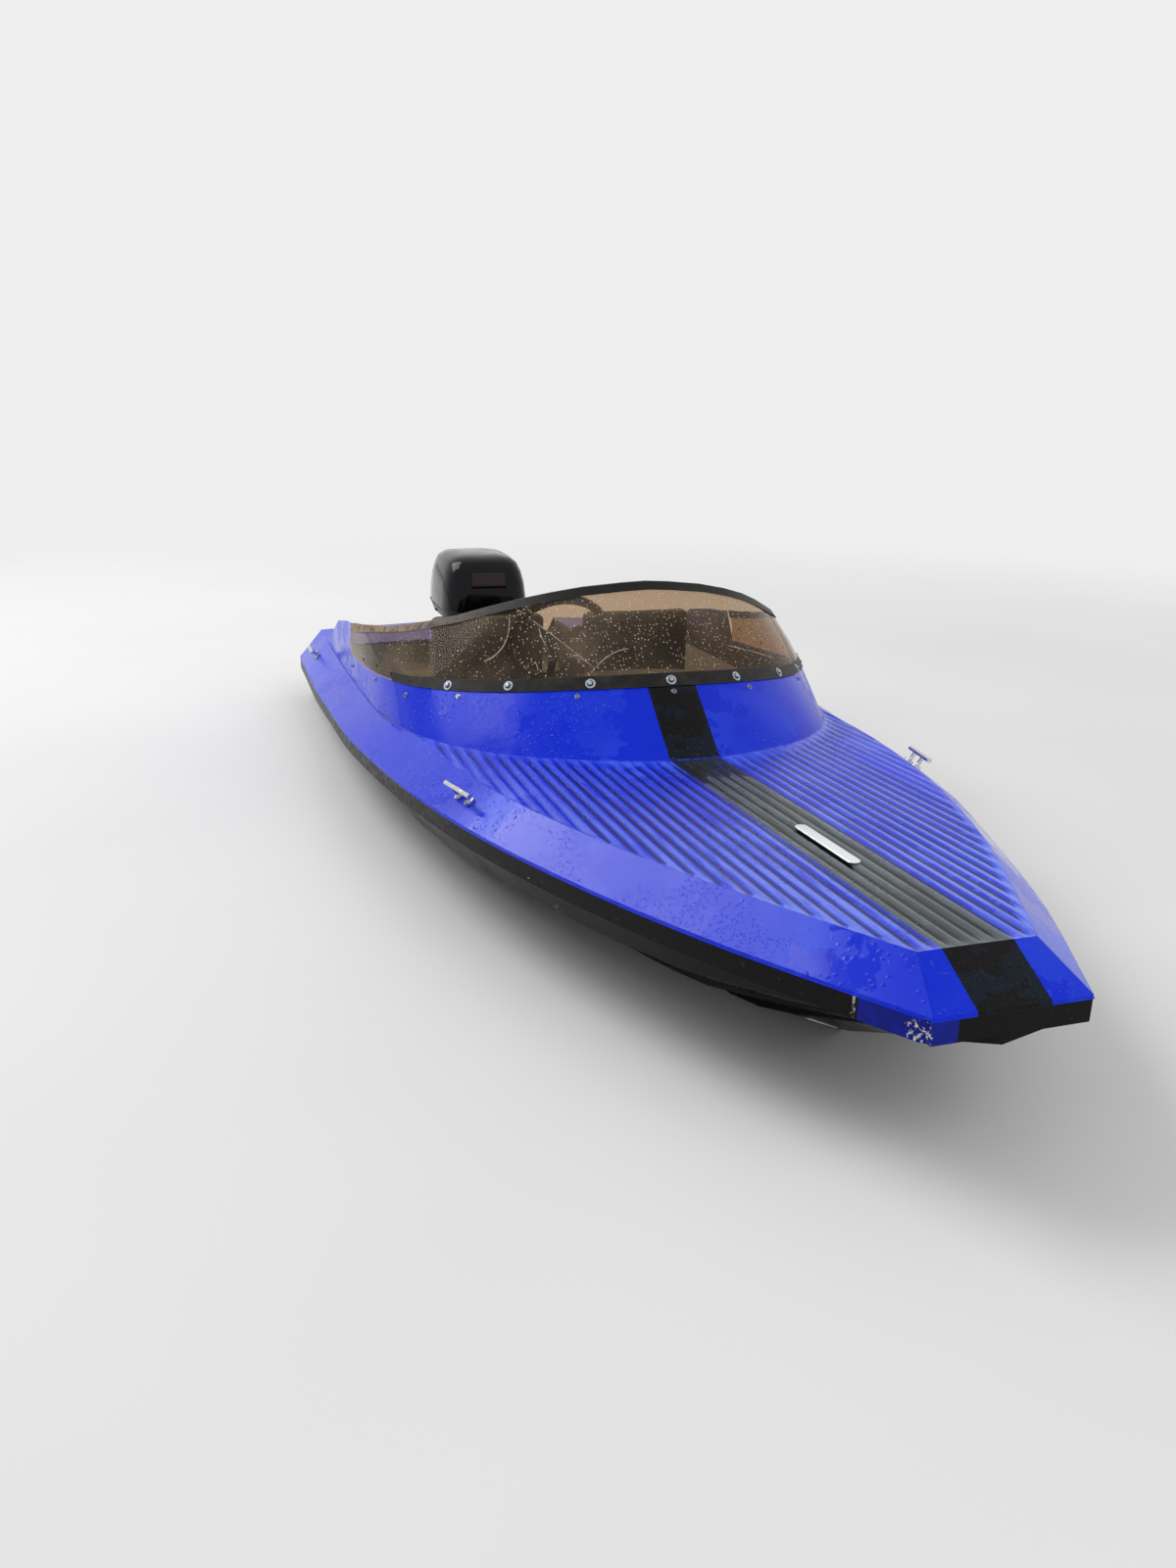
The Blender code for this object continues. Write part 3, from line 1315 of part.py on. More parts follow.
def gear_strut(bm):
    nose = STERN_Y + LEG_FRONT
    foil(bm, ((gear_axis(), nose, STRUT_CHORD, STRUT_HALF),
              (plate_top() - PLATE_WALL / 2, nose, STRUT_CHORD, STRUT_HALF * 1.2)))


def gear_torpedo(bm):
    profile = [(GEAR_LENGTH * place, GEAR_RADIUS * share) for place, share in GEARCASE_SHARES]
    turned(bm, profile, STERN_Y + GEAR_FRONT, gear_axis(), 20)


def gear_skeg(bm):
    """The fin under the gearcase."""
    root = gear_axis() - GEAR_RADIUS / 2
    tip = gear_axis() - SKEG_DEPTH
    front = STERN_Y + GEAR_FRONT
    plate_of(bm, [(front + GEAR_LENGTH * place, root + (tip - root) * down)
                  for place, down in SKEG_SHARES], -SKEG_HALF, SKEG_HALF)


def make_gearcase(palette):
    united("gearcase", (gear_torpedo, cavitation_plate, gear_strut, gear_skeg), palette["casting"],
           smooth=True)


def prop_hub(bm):
    profile = [(PROP_HUB_LENGTH * place, PROP_HUB_RADIUS * share) for place, share in PROP_HUB_SHARES]
    turned(bm, profile, 0, 0, 20)


def blade_section(radius_share):
    """A thin section across the blade, turned to the pitch at its radius."""
    radius = PROP_RADIUS * radius_share
    pitch_angle = math.atan2(PROP_PITCH, 2 * math.pi * radius)
    chordwise = Vector((math.cos(pitch_angle), math.sin(pitch_angle), 0))
    across = Vector((-math.sin(pitch_angle), math.cos(pitch_angle), 0))
    middle = Vector((0, PROP_HUB_LENGTH * BLADE_PLACE_SHARE, radius))
    chord = BLADE_CHORD * along(BLADE_SHARES, radius_share, 1)
    half_wall = BLADE_HALF_WALL * (BLADE_TAPER_SHARE - radius_share)
    return [middle + chordwise * chord * place + across * half_wall * out
            for place, out in BLADE_SECTION_SHARES]


def prop_blade(bm, degrees):
    root, tip = BLADE_SHARES[0][0], BLADE_SHARES[-1][0]
    skin(bm, [blade_section(root + (tip - root) * k / BLADE_SPANS) for k in range(BLADE_SPANS + 1)])
    bmesh.ops.transform(bm, matrix=Matrix.Rotation(math.radians(degrees), 4, "Y"), verts=bm.verts)


def make_propeller(palette):
    blades = [lambda bm, degrees=360 / BLADES * k: prop_blade(bm, degrees) for k in range(BLADES)]
    propeller = united("propeller", [prop_hub, *blades], palette["casting"], smooth=True)
    propeller.location = (0, STERN_Y + GEAR_FRONT + GEAR_LENGTH + RUNNING_GAP, gear_axis())


def main():
    for old in list(bpy.data.objects):
        bpy.data.objects.remove(old)
    palette = make_palette()
    make_hull(palette)
    make_transom(palette)
    make_flanges(palette)
    make_bow_facet(palette)
    make_margins(palette)
    make_ribbed_panel(palette)
    make_side_decks(palette)
    make_stern_deck(palette)
    make_coaming(palette)
    make_screen(palette)
    make_band(palette)
    make_trim(palette)
    make_sole(palette)
    make_liners(palette)
    make_dashboard(palette)
    make_seats(palette)
    make_bench(palette)
    make_bulkhead(palette)
    make_well(palette)
    make_cleats(palette)
    make_column(palette)
    make_wheel(palette)
    make_clamp(palette)
    make_swivel(palette)
    make_leg(palette)
    make_pan(palette)
    make_cowl(palette)
    make_engine(palette)
    make_gearcase(palette)
    make_propeller(palette)


main()
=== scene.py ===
"""Looks of the speedboat: finishes for every surface, fittings, seats, glass, camera and light.

Lengths are in metres in the row frame: the bow points towards -Y, port is +X, and the waterline
is at z = 0.
"""
import json
import math

import bmesh
import bpy
from mathutils import Matrix, Vector
from mathutils.bvhtree import BVHTree


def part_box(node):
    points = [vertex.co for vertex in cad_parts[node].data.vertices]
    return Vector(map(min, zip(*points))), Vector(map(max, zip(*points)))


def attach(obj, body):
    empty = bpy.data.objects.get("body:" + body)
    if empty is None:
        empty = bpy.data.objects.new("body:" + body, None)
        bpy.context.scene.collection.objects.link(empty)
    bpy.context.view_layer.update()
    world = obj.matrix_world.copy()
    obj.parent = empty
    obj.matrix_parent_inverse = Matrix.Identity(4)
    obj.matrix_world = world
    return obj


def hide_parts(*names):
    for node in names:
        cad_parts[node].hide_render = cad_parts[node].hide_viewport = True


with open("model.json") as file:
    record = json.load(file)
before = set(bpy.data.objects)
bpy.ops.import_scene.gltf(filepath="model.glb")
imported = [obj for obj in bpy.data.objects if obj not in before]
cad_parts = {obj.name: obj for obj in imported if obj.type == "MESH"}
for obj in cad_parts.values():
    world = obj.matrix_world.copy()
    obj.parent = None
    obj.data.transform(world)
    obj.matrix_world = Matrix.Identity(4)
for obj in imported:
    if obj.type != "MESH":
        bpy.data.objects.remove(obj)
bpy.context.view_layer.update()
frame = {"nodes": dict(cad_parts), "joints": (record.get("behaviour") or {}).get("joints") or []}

MM = 0.001
# Points closer than this are merged
WELD = 0.01 * MM
# Edges sharper than these stay hard
CREASE = math.radians(32)
HULL_CREASE = math.radians(24)
COAMING_CREASE = math.radians(38)
ROUND_CREASE = math.radians(50)
RIB_CREASE = math.radians(60)
# Edges sharper than this are bevelled
BEVEL_ANGLE = math.radians(50)

# Camera: place, heading, tilt and roll found from the photograph
CAMERA_PLACE = Vector((-1.23, -3.411, 1.281))
CAMERA_YAW = math.radians(17.82)
CAMERA_PITCH = math.radians(17.92)
CAMERA_ROLL = math.radians(1.2)
CAMERA_LENS = 27.05
CAMERA_SENSOR = 36

# Light: the world's strength, where the lamps point, and each lamp's name, place, size, power and
# whether glossy surfaces mirror it
STUDIO_LEVEL = 0.50
LAMP_AIM = Vector((0, 0, 0.2))
LAMPS = (
    ("key", (-6.5, 6.5, 9.0), 7.0, 860, True),
    ("fill", (5.0, -9.0, 8.5), 9.0, 400, False),
)

# Floor
WATERLINE_POINTS = 80
WATERLINE_RISE = 0.5 * MM
FLOOR_HALF = 60
FLOOR_FADE_START = 2.5
FLOOR_FADE_END = 9
BACKDROP = 0.86
FLOOR_LIGHT = (0.84, 0.84, 0.84, 1)
FLOOR_PALE = (0.81, 0.81, 0.81, 1)

# Deck and hull
BOW_Y = -1.95
STERN_Y = 1.95
STRIPE_HALF = 73.5 * MM
RIB_PITCH = 32.7 * MM
RIB_DEPTH = 6.5 * MM
DEPTH_NAME = "groove_depth"
# Where the mist of drops thickens towards starboard, the ribs' crowns grow paler towards the bow
# (partly sun-faded paint, partly painted highlight), and the stripe's worn paint ends under the
# coaming: x, y and y, from none to full
MIST_ASIDE = (-0.30, -0.60)
CROWN_PALING = (-0.75, -1.45)
WORN_END = (-0.82, -0.62)
# The ring-shaped scrape on the starboard side: y and z
SCRAPE_PLACE = (-0.990, 0.151)
SCRAPE_RADIUS = 17 * MM
SCRAPE_SQUASH = 1.3
# The repainted patch of the flange on the starboard bow, and its chipped corner
PATCH_START = -0.224
PATCH_END = -0.107
PATCH_BACK = -1.80
CORNER_X = -0.168
CORNER_BACK = -1.9
CORNER_TOP = 0.322
# Where the painted tan sun glint on the screen's trim sets in, and the fine dust on the screen
# thins out
GLINT_SPAN = (0.02, 0.42)
DUST_THIN = (-0.50, -0.34)

# Colours, as linear light
BLUE = (0.001, 0.024, 0.68, 1)
# Paler patches of the deck: partly the water film, partly a painted sheen
BLUE_FILM_AND_SHEEN = (0.045, 0.110, 0.86, 1)
# Paler rib crowns: partly sun-faded paint, partly a painted highlight
BLUE_FADED_AND_HIGHLIT = (0.150, 0.240, 0.88, 1)
# Painted shade in the ribs' grooves
BLUE_GROOVE_SHADE = (0.001, 0.004, 0.10, 1)
CHARCOAL = (0.003, 0.007, 0.016, 1)
CHARCOAL_DAMP = (0.002, 0.002, 0.003, 1)
WORN_GREEN = (0.090, 0.122, 0.142, 1)
WORN_DARK = (0.030, 0.042, 0.048, 1)
# Painted shade in the stripe's grooves
GROOVE_SHADE_DARK = (0.001, 0.001, 0.002, 1)
BLACK = (0.004, 0.004, 0.005, 1)
SMEAR = (0.030, 0.026, 0.022, 1)
SCUFF = (0.16, 0.16, 0.15, 1)
GRIT = (0.06, 0.06, 0.055, 1)
PATCH_BLUE = (0.006, 0.014, 0.30, 1)
CHIP = (0.62, 0.63, 0.56, 1)
CHALK = (0.10, 0.085, 0.065, 1)
# Colour of the painted sun glint on the screen's trim
TAN = (0.34, 0.23, 0.13, 1)
BRONZE = (0.48, 0.34, 0.22, 1)
BRONZE_SHADE = (0.80, 0.68, 0.56, 1)
DUST = (0.84, 0.74, 0.60, 1)
MOTOR_DUST = (0.09, 0.09, 0.085, 1)
DIRT = (0.05, 0.045, 0.038, 1)
GEAR_PAINT = (0.012, 0.012, 0.013, 1)
GEAR_METAL = (0.24, 0.24, 0.23, 1)


# Shader maths

def operator(operation, reflected=False):
    """A method that adds a Math node for a value and what stands beside it."""
    def method(value, other):
        terms = (other, value) if reflected else (value, other)
        return value.sums(operation, *terms)
    return method


class Value:
    """A shader socket that takes part in sums: each operator adds a Math node."""

    def __init__(self, finish, socket):
        self.finish = finish
        self.socket = socket

    def sums(self, operation, *terms):
        return self.finish.node("Math", dict(enumerate(terms)), operation=operation)

    __add__ = operator("ADD")
    __radd__ = operator("ADD", True)
    __sub__ = operator("SUBTRACT")
    __rsub__ = operator("SUBTRACT", True)
    __mul__ = operator("MULTIPLY")
    __rmul__ = operator("MULTIPLY", True)
    __truediv__ = operator("DIVIDE")
    __pow__ = operator("POWER")
    __gt__ = operator("GREATER_THAN")
    __lt__ = operator("LESS_THAN")

    def __abs__(self):
        return self.sums("ABSOLUTE", self)


class Nodes:
    """The node tree of a material or a world, with short ways to add nodes."""

    def __init__(self, owner):
        owner.use_nodes = True
        self.tree = owner.node_tree

    def join(self, socket, value):
        if isinstance(value, Value):
            self.tree.links.new(value.socket, socket)
        else:
            socket.default_value = value

    def node(self, kind, sockets=None, output=0, **settings):
        """Any node: its type, what its sockets get, the output to go on with, and its settings."""
        made = self.tree.nodes.new("ShaderNode" + kind)
        for key, value in settings.items():
            setattr(made, key, value)
        for key, value in (sockets or {}).items():
            self.join(made.inputs[key], value)
        return Value(self, made.outputs[output])


class Finish(Nodes):
    """A material around one Principled shader, and the patterns that it is made of."""

    def __init__(self, name, **settings):
        self.material = bpy.data.materials.new(name)
        super().__init__(self.material)
        self.shader = self.tree.nodes["Principled BSDF"]
        self.output = self.tree.nodes["Material Output"]
        self.set(**settings)

    def place(self, stretch=(1, 1, 1), shift=(0, 0, 0)):
        where = self.node("TexCoord", output="Object")
        return self.node("Mapping", {"Vector": where, "Scale": stretch, "Location": shift})

    def axes(self):
        where = self.node("TexCoord", output="Object")
        split = self.node("SeparateXYZ", {0: where}).socket.node
        return [Value(self, split.outputs[k]) for k in range(3)]

    def noise(self, scale, detail=4, rough=0.55, stretch=(1, 1, 1), shift=(0, 0, 0)):
        sockets = {"Vector": self.place(stretch, shift), "Scale": scale, "Detail": detail,
                   "Roughness": rough}
        return self.node("TexNoise", sockets)

    def cells(self, scale, feature="F1", output="Distance"):
        sockets = {"Vector": self.place(), "Scale": scale}
        return self.node("TexVoronoi", sockets, output, feature=feature)

    def ease(self, value, start, end, low=0.0, high=1.0):
        """low where value is at start, high where it is at end, smooth between."""
        sockets = {"Value": value, "From Min": start, "From Max": end, "To Min": low,
                   "To Max": high}
        return self.node("MapRange", sockets, interpolation_type="SMOOTHSTEP")

    def blend(self, factor, first, second):
        """The first colour where factor is 0, the second where it is 1."""
        return self.node("Mix", {0: factor, 6: first, 7: second}, 2, data_type="RGBA")

    def bump(self, height, depth, strength=1.0, under=None):
        sockets = {"Height": height, "Distance": depth, "Strength": strength}
        if under is not None:
            sockets["Normal"] = under
        return self.node("Bump", sockets)

    def drops(self, scale, size, chance):
        """Rounded water drops: 1 at a drop's middle, in a share of the cells."""
        colours = self.cells(scale, output="Color")
        picked = self.node("SeparateColor", {0: colours}) > 1 - chance
        return self.ease(self.cells(scale), size, size * 0.35) * picked

    def cover(self, factor, shader):
        """Puts another shader over the finish where factor is 1."""
        surface = self.output.inputs["Surface"]
        under = Value(self, surface.links[0].from_socket)
        self.join(surface, self.node("MixShader", {0: factor, 1: under, 2: shader}))

    def set(self, **sockets):
        """Gives the Principled shader's sockets values or links, and returns the material."""
        for socket, value in sockets.items():
            self.join(self.shader.inputs[socket.replace("_", " ")], value)
        return self.material


# Finishes

def deck_blue(name, striped=False, ribbed=False, patchiness=1.0, gloss=0.20):
    """Ultramarine gelcoat with drops and watery patches that are paler, partly from the water and
    partly from a painted sheen; the middle stripe is charcoal. On the ribs, painted shade darkens
    the grooves, and the crowns are paler, partly sun-faded paint and partly painted highlight.
    """
    f = Finish(name, Specular_IOR_Level=gloss)
    x, y, _ = f.axes()
    film_and_sheen = f.ease(f.noise(5.2, 7, 0.62), 0.50, 0.512)
    cloud = f.ease(f.noise(2.1, 3, 0.5, shift=(3, 1, 0)), 0.38, 0.66)
    beads = f.drops(85, 0.42, 0.34) * f.ease(f.noise(3.4, 3, 0.5, shift=(0, 7, 0)), 0.46, 0.54)
    aside = f.ease(x, *MIST_ASIDE) * 0.12
    misty = f.ease(f.noise(4.0, 3, 0.5, shift=(9, 0, 0)) + aside, 0.44, 0.55)
    mist = f.drops(210, 0.45, 0.40) * misty
    # paler patches: partly the water film, partly a painted sheen
    pale_film_and_sheen = f.blend(film_and_sheen, BLUE, BLUE_FILM_AND_SHEEN)
    colour = f.blend(cloud * 0.8 * patchiness, BLUE, pale_film_and_sheen)
    rough = f.ease(film_and_sheen, 0, 1, 0.08, 0.24)
    if ribbed:
        depth = f.node("Attribute", output="Fac", attribute_name=DEPTH_NAME)
        # painted shade: the grooves darken towards deep blue where they lie deepest
        groove_shade = f.ease(f.ease(depth, 0.15, 0.55) * 0.45 + f.ease(depth, 0.50, 0.85), 0, 1)
        # paler crowns towards the bow: partly sun-faded paint, partly a painted highlight
        faded_and_highlit = f.ease(f.noise(30, 5, 0.6, (1, 0.12, 1)), 0.30, 0.6) * f.ease(depth, 0.22, 0.0)
        paler_to_bow = f.ease(y, *CROWN_PALING, 0.45, 1.0)
        colour = f.blend(faded_and_highlit * paler_to_bow * 0.85, colour, BLUE_FADED_AND_HIGHLIT)
        colour = f.blend(groove_shade * 0.97, colour, BLUE_GROOVE_SHADE)
        rough = f.ease(f.noise(12, 4, 0.6, (1, 0.2, 1)), 0.3, 0.7, 0.16, 0.34)
    if striped:
        stripe = f.ease(abs(x), STRIPE_HALF + 0.8 * MM, STRIPE_HALF - 0.8 * MM)
        if ribbed:
            worn = f.noise(9, 6, 0.62, (1, 0.35, 1)) - f.ease(y, *WORN_END) * 0.35
            shade = f.ease(f.noise(34, 5, 0.65, (1, 0.15, 1)), 0.3, 0.72)
            green = f.blend(shade, WORN_GREEN, WORN_DARK)
            paint = f.blend(f.ease(worn, 0.34, 0.40), CHARCOAL, green)
            # painted shade: the stripe's grooves darken where they lie deepest
            paint = f.blend(f.ease(depth, 0.25, 0.65), paint, GROOVE_SHADE_DARK)
        else:
            damp = f.ease(f.noise(14, 5, 0.6), 0.50, 0.53)
            paint = f.blend(damp, CHARCOAL, CHARCOAL_DAMP)
        colour = f.blend(stripe, colour, paint)
    height = beads + mist * 0.35
    normal = f.bump(height, 1.4 * MM, 1.0)
    grain = f.noise(420, 3, 0.6) * 0.25 + f.noise(28, 3, 0.5)
    normal = f.bump(grain, 0.25 * MM, 0.5, normal)
    drop = f.ease(beads + mist, 0.05, 0.3)
    return f.set(Base_Color=colour, Roughness=rough * (1 - drop * 0.8), Normal=normal)


def hull_black():
    """Gloss black gelcoat with hairline scratches, scuffs and one ring-shaped scrape."""
    f = Finish("hull_black", Specular_IOR_Level=0.07)
    x, y, z = f.axes()
    smear = f.ease(f.noise(2.6, 5, 0.6, (1, 0.35, 2.2)), 0.52, 0.72)
    hair = f.ease(f.noise(60, 2, 0.5, (1, 0.05, 1)), 0.66, 0.72) * smear
    off_y, off_z = y - SCRAPE_PLACE[0], z - SCRAPE_PLACE[1]
    ring = (off_y * off_y + off_z * off_z * SCRAPE_SQUASH) ** 0.5
    scrape = f.ease(abs(ring - SCRAPE_RADIUS), 3.0 * MM, 0.8 * MM) * (x < 0)
    scrape = scrape * f.ease(f.noise(55, 4, 0.7), 0.38, 0.52)
    colour = f.blend(smear * 0.35, BLACK, SMEAR)
    colour = f.blend(f.ease(hair * 0.4 + scrape, 0, 1), colour, SCUFF)
    rough = f.ease(f.noise(7, 4, 0.6), 0.3, 0.7, 0.12, 0.30) + scrape * 0.3
    return f.set(Base_Color=colour, Roughness=rough,
                 Normal=f.bump(f.noise(9, 3, 0.5), 0.8 * MM, 0.4))


def flange_black():
    """Black edge of the deck, repainted blue at the starboard bow and chipped at its corner."""
    f = Finish("flange_black", Specular_IOR_Level=0.10)
    x, y, z = f.axes()
    patch = (x > PATCH_START) * (x < PATCH_END) * (y < PATCH_BACK)
    worn = f.ease(f.noise(38, 6, 0.7), 0.44, 0.50)
    grit = f.noise(60, 5, 0.7)
    colour = f.blend(f.ease(grit, 0.60, 0.72) * 0.7, BLACK, GRIT)
    colour = f.blend(patch * f.ease(worn, 0, 1, 1, 0.75), colour, PATCH_BLUE)
    corner = f.ease(abs(x - CORNER_X), 24 * MM, 6 * MM) * (y < CORNER_BACK) * (z < CORNER_TOP)
    near = f.ease(f.noise(95, 6, 0.7) + corner * 0.16, 0.70, 0.72) * patch
    nicks = f.ease(f.noise(48, 4, 0.6, (1, 1, 2)), 0.735, 0.75)
    ragged = abs(x - PATCH_START + f.noise(60, 4, 0.7) * 8 * MM)
    edge = f.ease(ragged, 2.2 * MM, 0.8 * MM) * (y < PATCH_BACK)
    edge = edge * f.ease(f.noise(130, 4, 0.7), 0.44, 0.52)
    colour = f.blend(f.ease(near + nicks + edge * 0.7, 0, 1), colour, CHIP)
    return f.set(Base_Color=colour, Roughness=f.ease(grit, 0.3, 0.7, 0.22, 0.48),
                 Normal=f.bump(grit - near * 2, 0.5 * MM, 0.6))


def rubber(name, shade, dusty, glinting=False):
    """Black rubber moulding, chalky with age; if glinting, with a painted tan sun glint in streaks
    towards starboard aft.
    """
    f = Finish(name, Specular_IOR_Level=0.2)
    x, y, _ = f.axes()
    chalk = f.ease(f.noise(16, 6, 0.65), 0.42, 0.72)
    colour = f.blend(chalk * dusty, shade, CHALK)
    if glinting:
        # painted highlight: a tan sun glint in streaks on the starboard aft trim
        painted_glint = f.ease(y, *GLINT_SPAN) * (x < 0) * f.ease(f.noise(40, 5, 0.7), 0.30, 0.62)
        colour = f.blend(painted_glint * 0.9, colour, TAN)
    grain = f.noise(350, 3, 0.7)
    return f.set(Base_Color=colour, Roughness=f.ease(grain, 0.3, 0.7, 0.38, 0.55),
                 Normal=f.bump(grain + f.noise(40, 3, 0.5), 0.25 * MM, 0.6))


# Scratches on the acrylic, seen along Y: x and z of both ends, and how far the line bends out
SCRATCHES = (
    ((-0.384, 0.701), (-0.206, 0.559), 3 * MM), ((-0.479, 0.545), (-0.393, 0.668), -18 * MM),
    ((-0.326, 0.649), (-0.314, 0.595), -3 * MM), ((-0.354, 0.564), (-0.351, 0.543), 1 * MM),
    # The first row here, from x 0.209, is a pale line drawn like the scratches; what it shows is
    # not known
    ((0.209, 0.603), (0.435, 0.529), 4 * MM), ((-0.212, 0.552), (-0.105, 0.610), 10 * MM),
)
SCRATCH_HALF = 0.9 * MM


def scratch(f, x, z, start, end, bend):
    """A hairline between two places in the X-Z plane, bent out by the bow of a parabola."""
    start, run = Vector(start), Vector(end) - Vector(start)
    along = ((x - start.x) * run.x + (z - start.y) * run.y) / run.length_squared
    across = ((x - start.x) * -run.y + (z - start.y) * run.x) / run.length
    off = abs(across - along * (1 - along) * 4 * bend)
    return f.ease(off, SCRATCH_HALF, SCRATCH_HALF / 3) * (along > 0) * (along < 1)


def acrylic():
    """Bronze acrylic with dried drops, dust and a few long scratches."""
    f = Finish("bronze_acrylic", Base_Color=BRONZE, Transmission_Weight=1.0, IOR=1.09,
               Roughness=0.02)
    x, _, z = f.axes()
    zone = f.ease(f.noise(4.5, 4, 0.6), 0.30, 0.52)
    specks = f.drops(62, 0.16, 0.30) * zone
    fine = f.drops(108, 0.26, 0.40) * f.ease(zone, 0, 1, 0.6, 1) * f.ease(x, *DUST_THIN, 0.5, 1)
    lines = sum(scratch(f, x, z, *row) for row in SCRATCHES)
    lines = lines * f.ease(f.noise(22, 3, 0.6), 0.34, 0.50)
    haze = f.ease(f.noise(3.0, 3, 0.5), 0.35, 0.70, 0.07, 0.17)
    dust = f.ease(specks + fine * 0.8 + lines * 0.45 + haze, 0, 1)
    f.cover(dust, f.node("BsdfPrincipled", {"Base Color": DUST, "Roughness": 0.7}))
    clear = f.node("BsdfTransparent", {"Color": BRONZE_SHADE})
    f.cover(f.node("LightPath", output="Is Shadow Ray"), clear)
    return f.material


def scaled(shade, factor):
    """A colour made lighter or darker."""
    return tuple(factor * c for c in shade[:3]) + (1,)


def metal(name, shade, rough, spotted=0.3):
    """Bare or plated metal with water marks."""
    f = Finish(name, Metallic=1.0)
    mark = f.ease(f.noise(60, 5, 0.65), 0.45, 0.65)
    colour = f.blend(mark * spotted, shade, scaled(shade, 0.55))
    return f.set(Base_Color=colour, Roughness=f.ease(mark, 0, 1, rough, rough + 0.18),
                 Normal=f.bump(f.noise(300, 3, 0.6), 0.1 * MM, 0.4))


def motor_paint(name, shade, rough, coat):
    """Motor paint with orange peel, dust and fine scratches."""
    f = Finish(name, Coat_Weight=coat, Coat_Roughness=0.04, Specular_IOR_Level=0.12)
    dust = f.ease(f.noise(11, 6, 0.6), 0.50, 0.78)
    hair = f.ease(f.noise(90, 2, 0.5, (0.1, 1, 1)), 0.70, 0.74)
    colour = f.blend(f.ease(dust * 0.14 + hair * 0.10, 0, 1), shade, MOTOR_DUST)
    return f.set(Base_Color=colour, Roughness=f.ease(dust, 0, 1, rough, rough + 0.15),
                 Normal=f.bump(f.noise(160, 2, 0.5), 0.12 * MM, 0.5))


def liner(name, light, dark):
    """Flecked inner moulding, walked on and dusty."""
    f = Finish(name, Coat_Weight=0.1)
    fleck = f.ease(f.cells(420), 0.25, 0.45)
    dirt = f.ease(f.noise(6, 6, 0.65), 0.45, 0.75)
    colour = f.blend(fleck, dark, light)
    colour = f.blend(dirt * 0.5, colour, DIRT)
    return f.set(Base_Color=colour, Roughness=f.ease(dirt, 0, 1, 0.35, 0.6),
                 Normal=f.bump(f.noise(220, 3, 0.6), 0.3 * MM, 0.6))


def vinyl(name, shade):
    """Leather-grained vinyl: a net of fine creases darkened with painted shade, rubbed paler in
    patches.
    """
    f = Finish(name, Sheen_Weight=0.05, Specular_IOR_Level=0.4)
    crease = f.ease(f.cells(520, "DISTANCE_TO_EDGE"), 0.0, 0.12)
    rubbed = f.ease(f.noise(7, 5, 0.6), 0.45, 0.75)
    colour = f.blend(rubbed * 0.4, shade, scaled(shade, 2.2))
    # painted shade in the creases of the grain
    colour = f.blend(f.ease(crease, 0, 1, 0.75, 1), scaled(shade, 0.5), colour)
    return f.set(Base_Color=colour, Roughness=f.ease(rubbed, 0, 1, 0.42, 0.58),
                 Normal=f.bump(crease, 0.2 * MM, 0.25))


def antifoul():
    """Cast metal of the gearcase, painted and rubbed through at its edges."""
    f = Finish("gearcase_paint", Coat_Weight=0.1)
    rub = f.ease(f.noise(26, 6, 0.7), 0.60, 0.66)
    colour = f.blend(rub, GEAR_PAINT, GEAR_METAL)
    return f.set(Base_Color=colour, Roughness=f.ease(rub, 0, 1, 0.3, 0.5), Metallic=rub * 0.8,
                 Normal=f.bump(f.noise(140, 4, 0.6), 0.3 * MM, 0.7))


# Mesh helpers

def merged(node):
    """A bmesh copy of a CAD node with its loose triangles joined."""
    bm = bmesh.new()
    bm.from_mesh(frame["nodes"][node].data)
    bmesh.ops.remove_doubles(bm, verts=bm.verts, dist=WELD)
    return bm


def in_scene(name, data):
    """A new object, linked to the scene."""
    made = bpy.data.objects.new(name, data)
    bpy.context.scene.collection.objects.link(made)
    return made


def mesh_from(bm, name):
    """A mesh from a bmesh, which is freed."""
    mesh = bpy.data.meshes.new(name)
    bm.to_mesh(mesh)
    bm.free()
    return mesh


def piece(bm, name, finish, body="hull", crease=CREASE):
    """A mesh object from a bmesh: smooth faces, with edges sharper than crease kept hard."""
    for face in bm.faces:
        face.smooth = True
    for edge in bm.edges:
        edge.smooth = edge.calc_face_angle(math.pi) < crease
    made = in_scene(name, mesh_from(bm, name))
    made.data.materials.append(finish)
    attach(made, body)
    return made


def sharp_edges(bm):
    return [edge for edge in bm.edges if edge.calc_face_angle(0) > BEVEL_ANGLE]


def dressed(node, finish, body="hull", crease=CREASE, rounding=0.0):
    """A smooth-shaded copy of a CAD node that stands for it, with its sharp edges rounded."""
    bm = merged(node)
    if rounding:
        bmesh.ops.bevel(bm, geom=sharp_edges(bm), offset=rounding, segments=3, profile=0.5,
                        affect="EDGES", material=-1, clamp_overlap=True)
    made = piece(bm, node + "_skin", finish, body, crease)
    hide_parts(node)
    return made


# How far a face has to turn to the cockpit's middle, or upwards, to count as its inside
COCKPIT_MIDDLE = Vector((0, 0.6, 0))
INSIDE_FACING = 0.2
INSIDE_UP = 0.3
INSIDE_STEP = 3 * MM
# Level ledges beside the cockpit are lined too, up to the stern decks
LEDGE_UP = 0.95
LEDGE_BACK = 1.45
LINING_THICK = 2.5 * MM


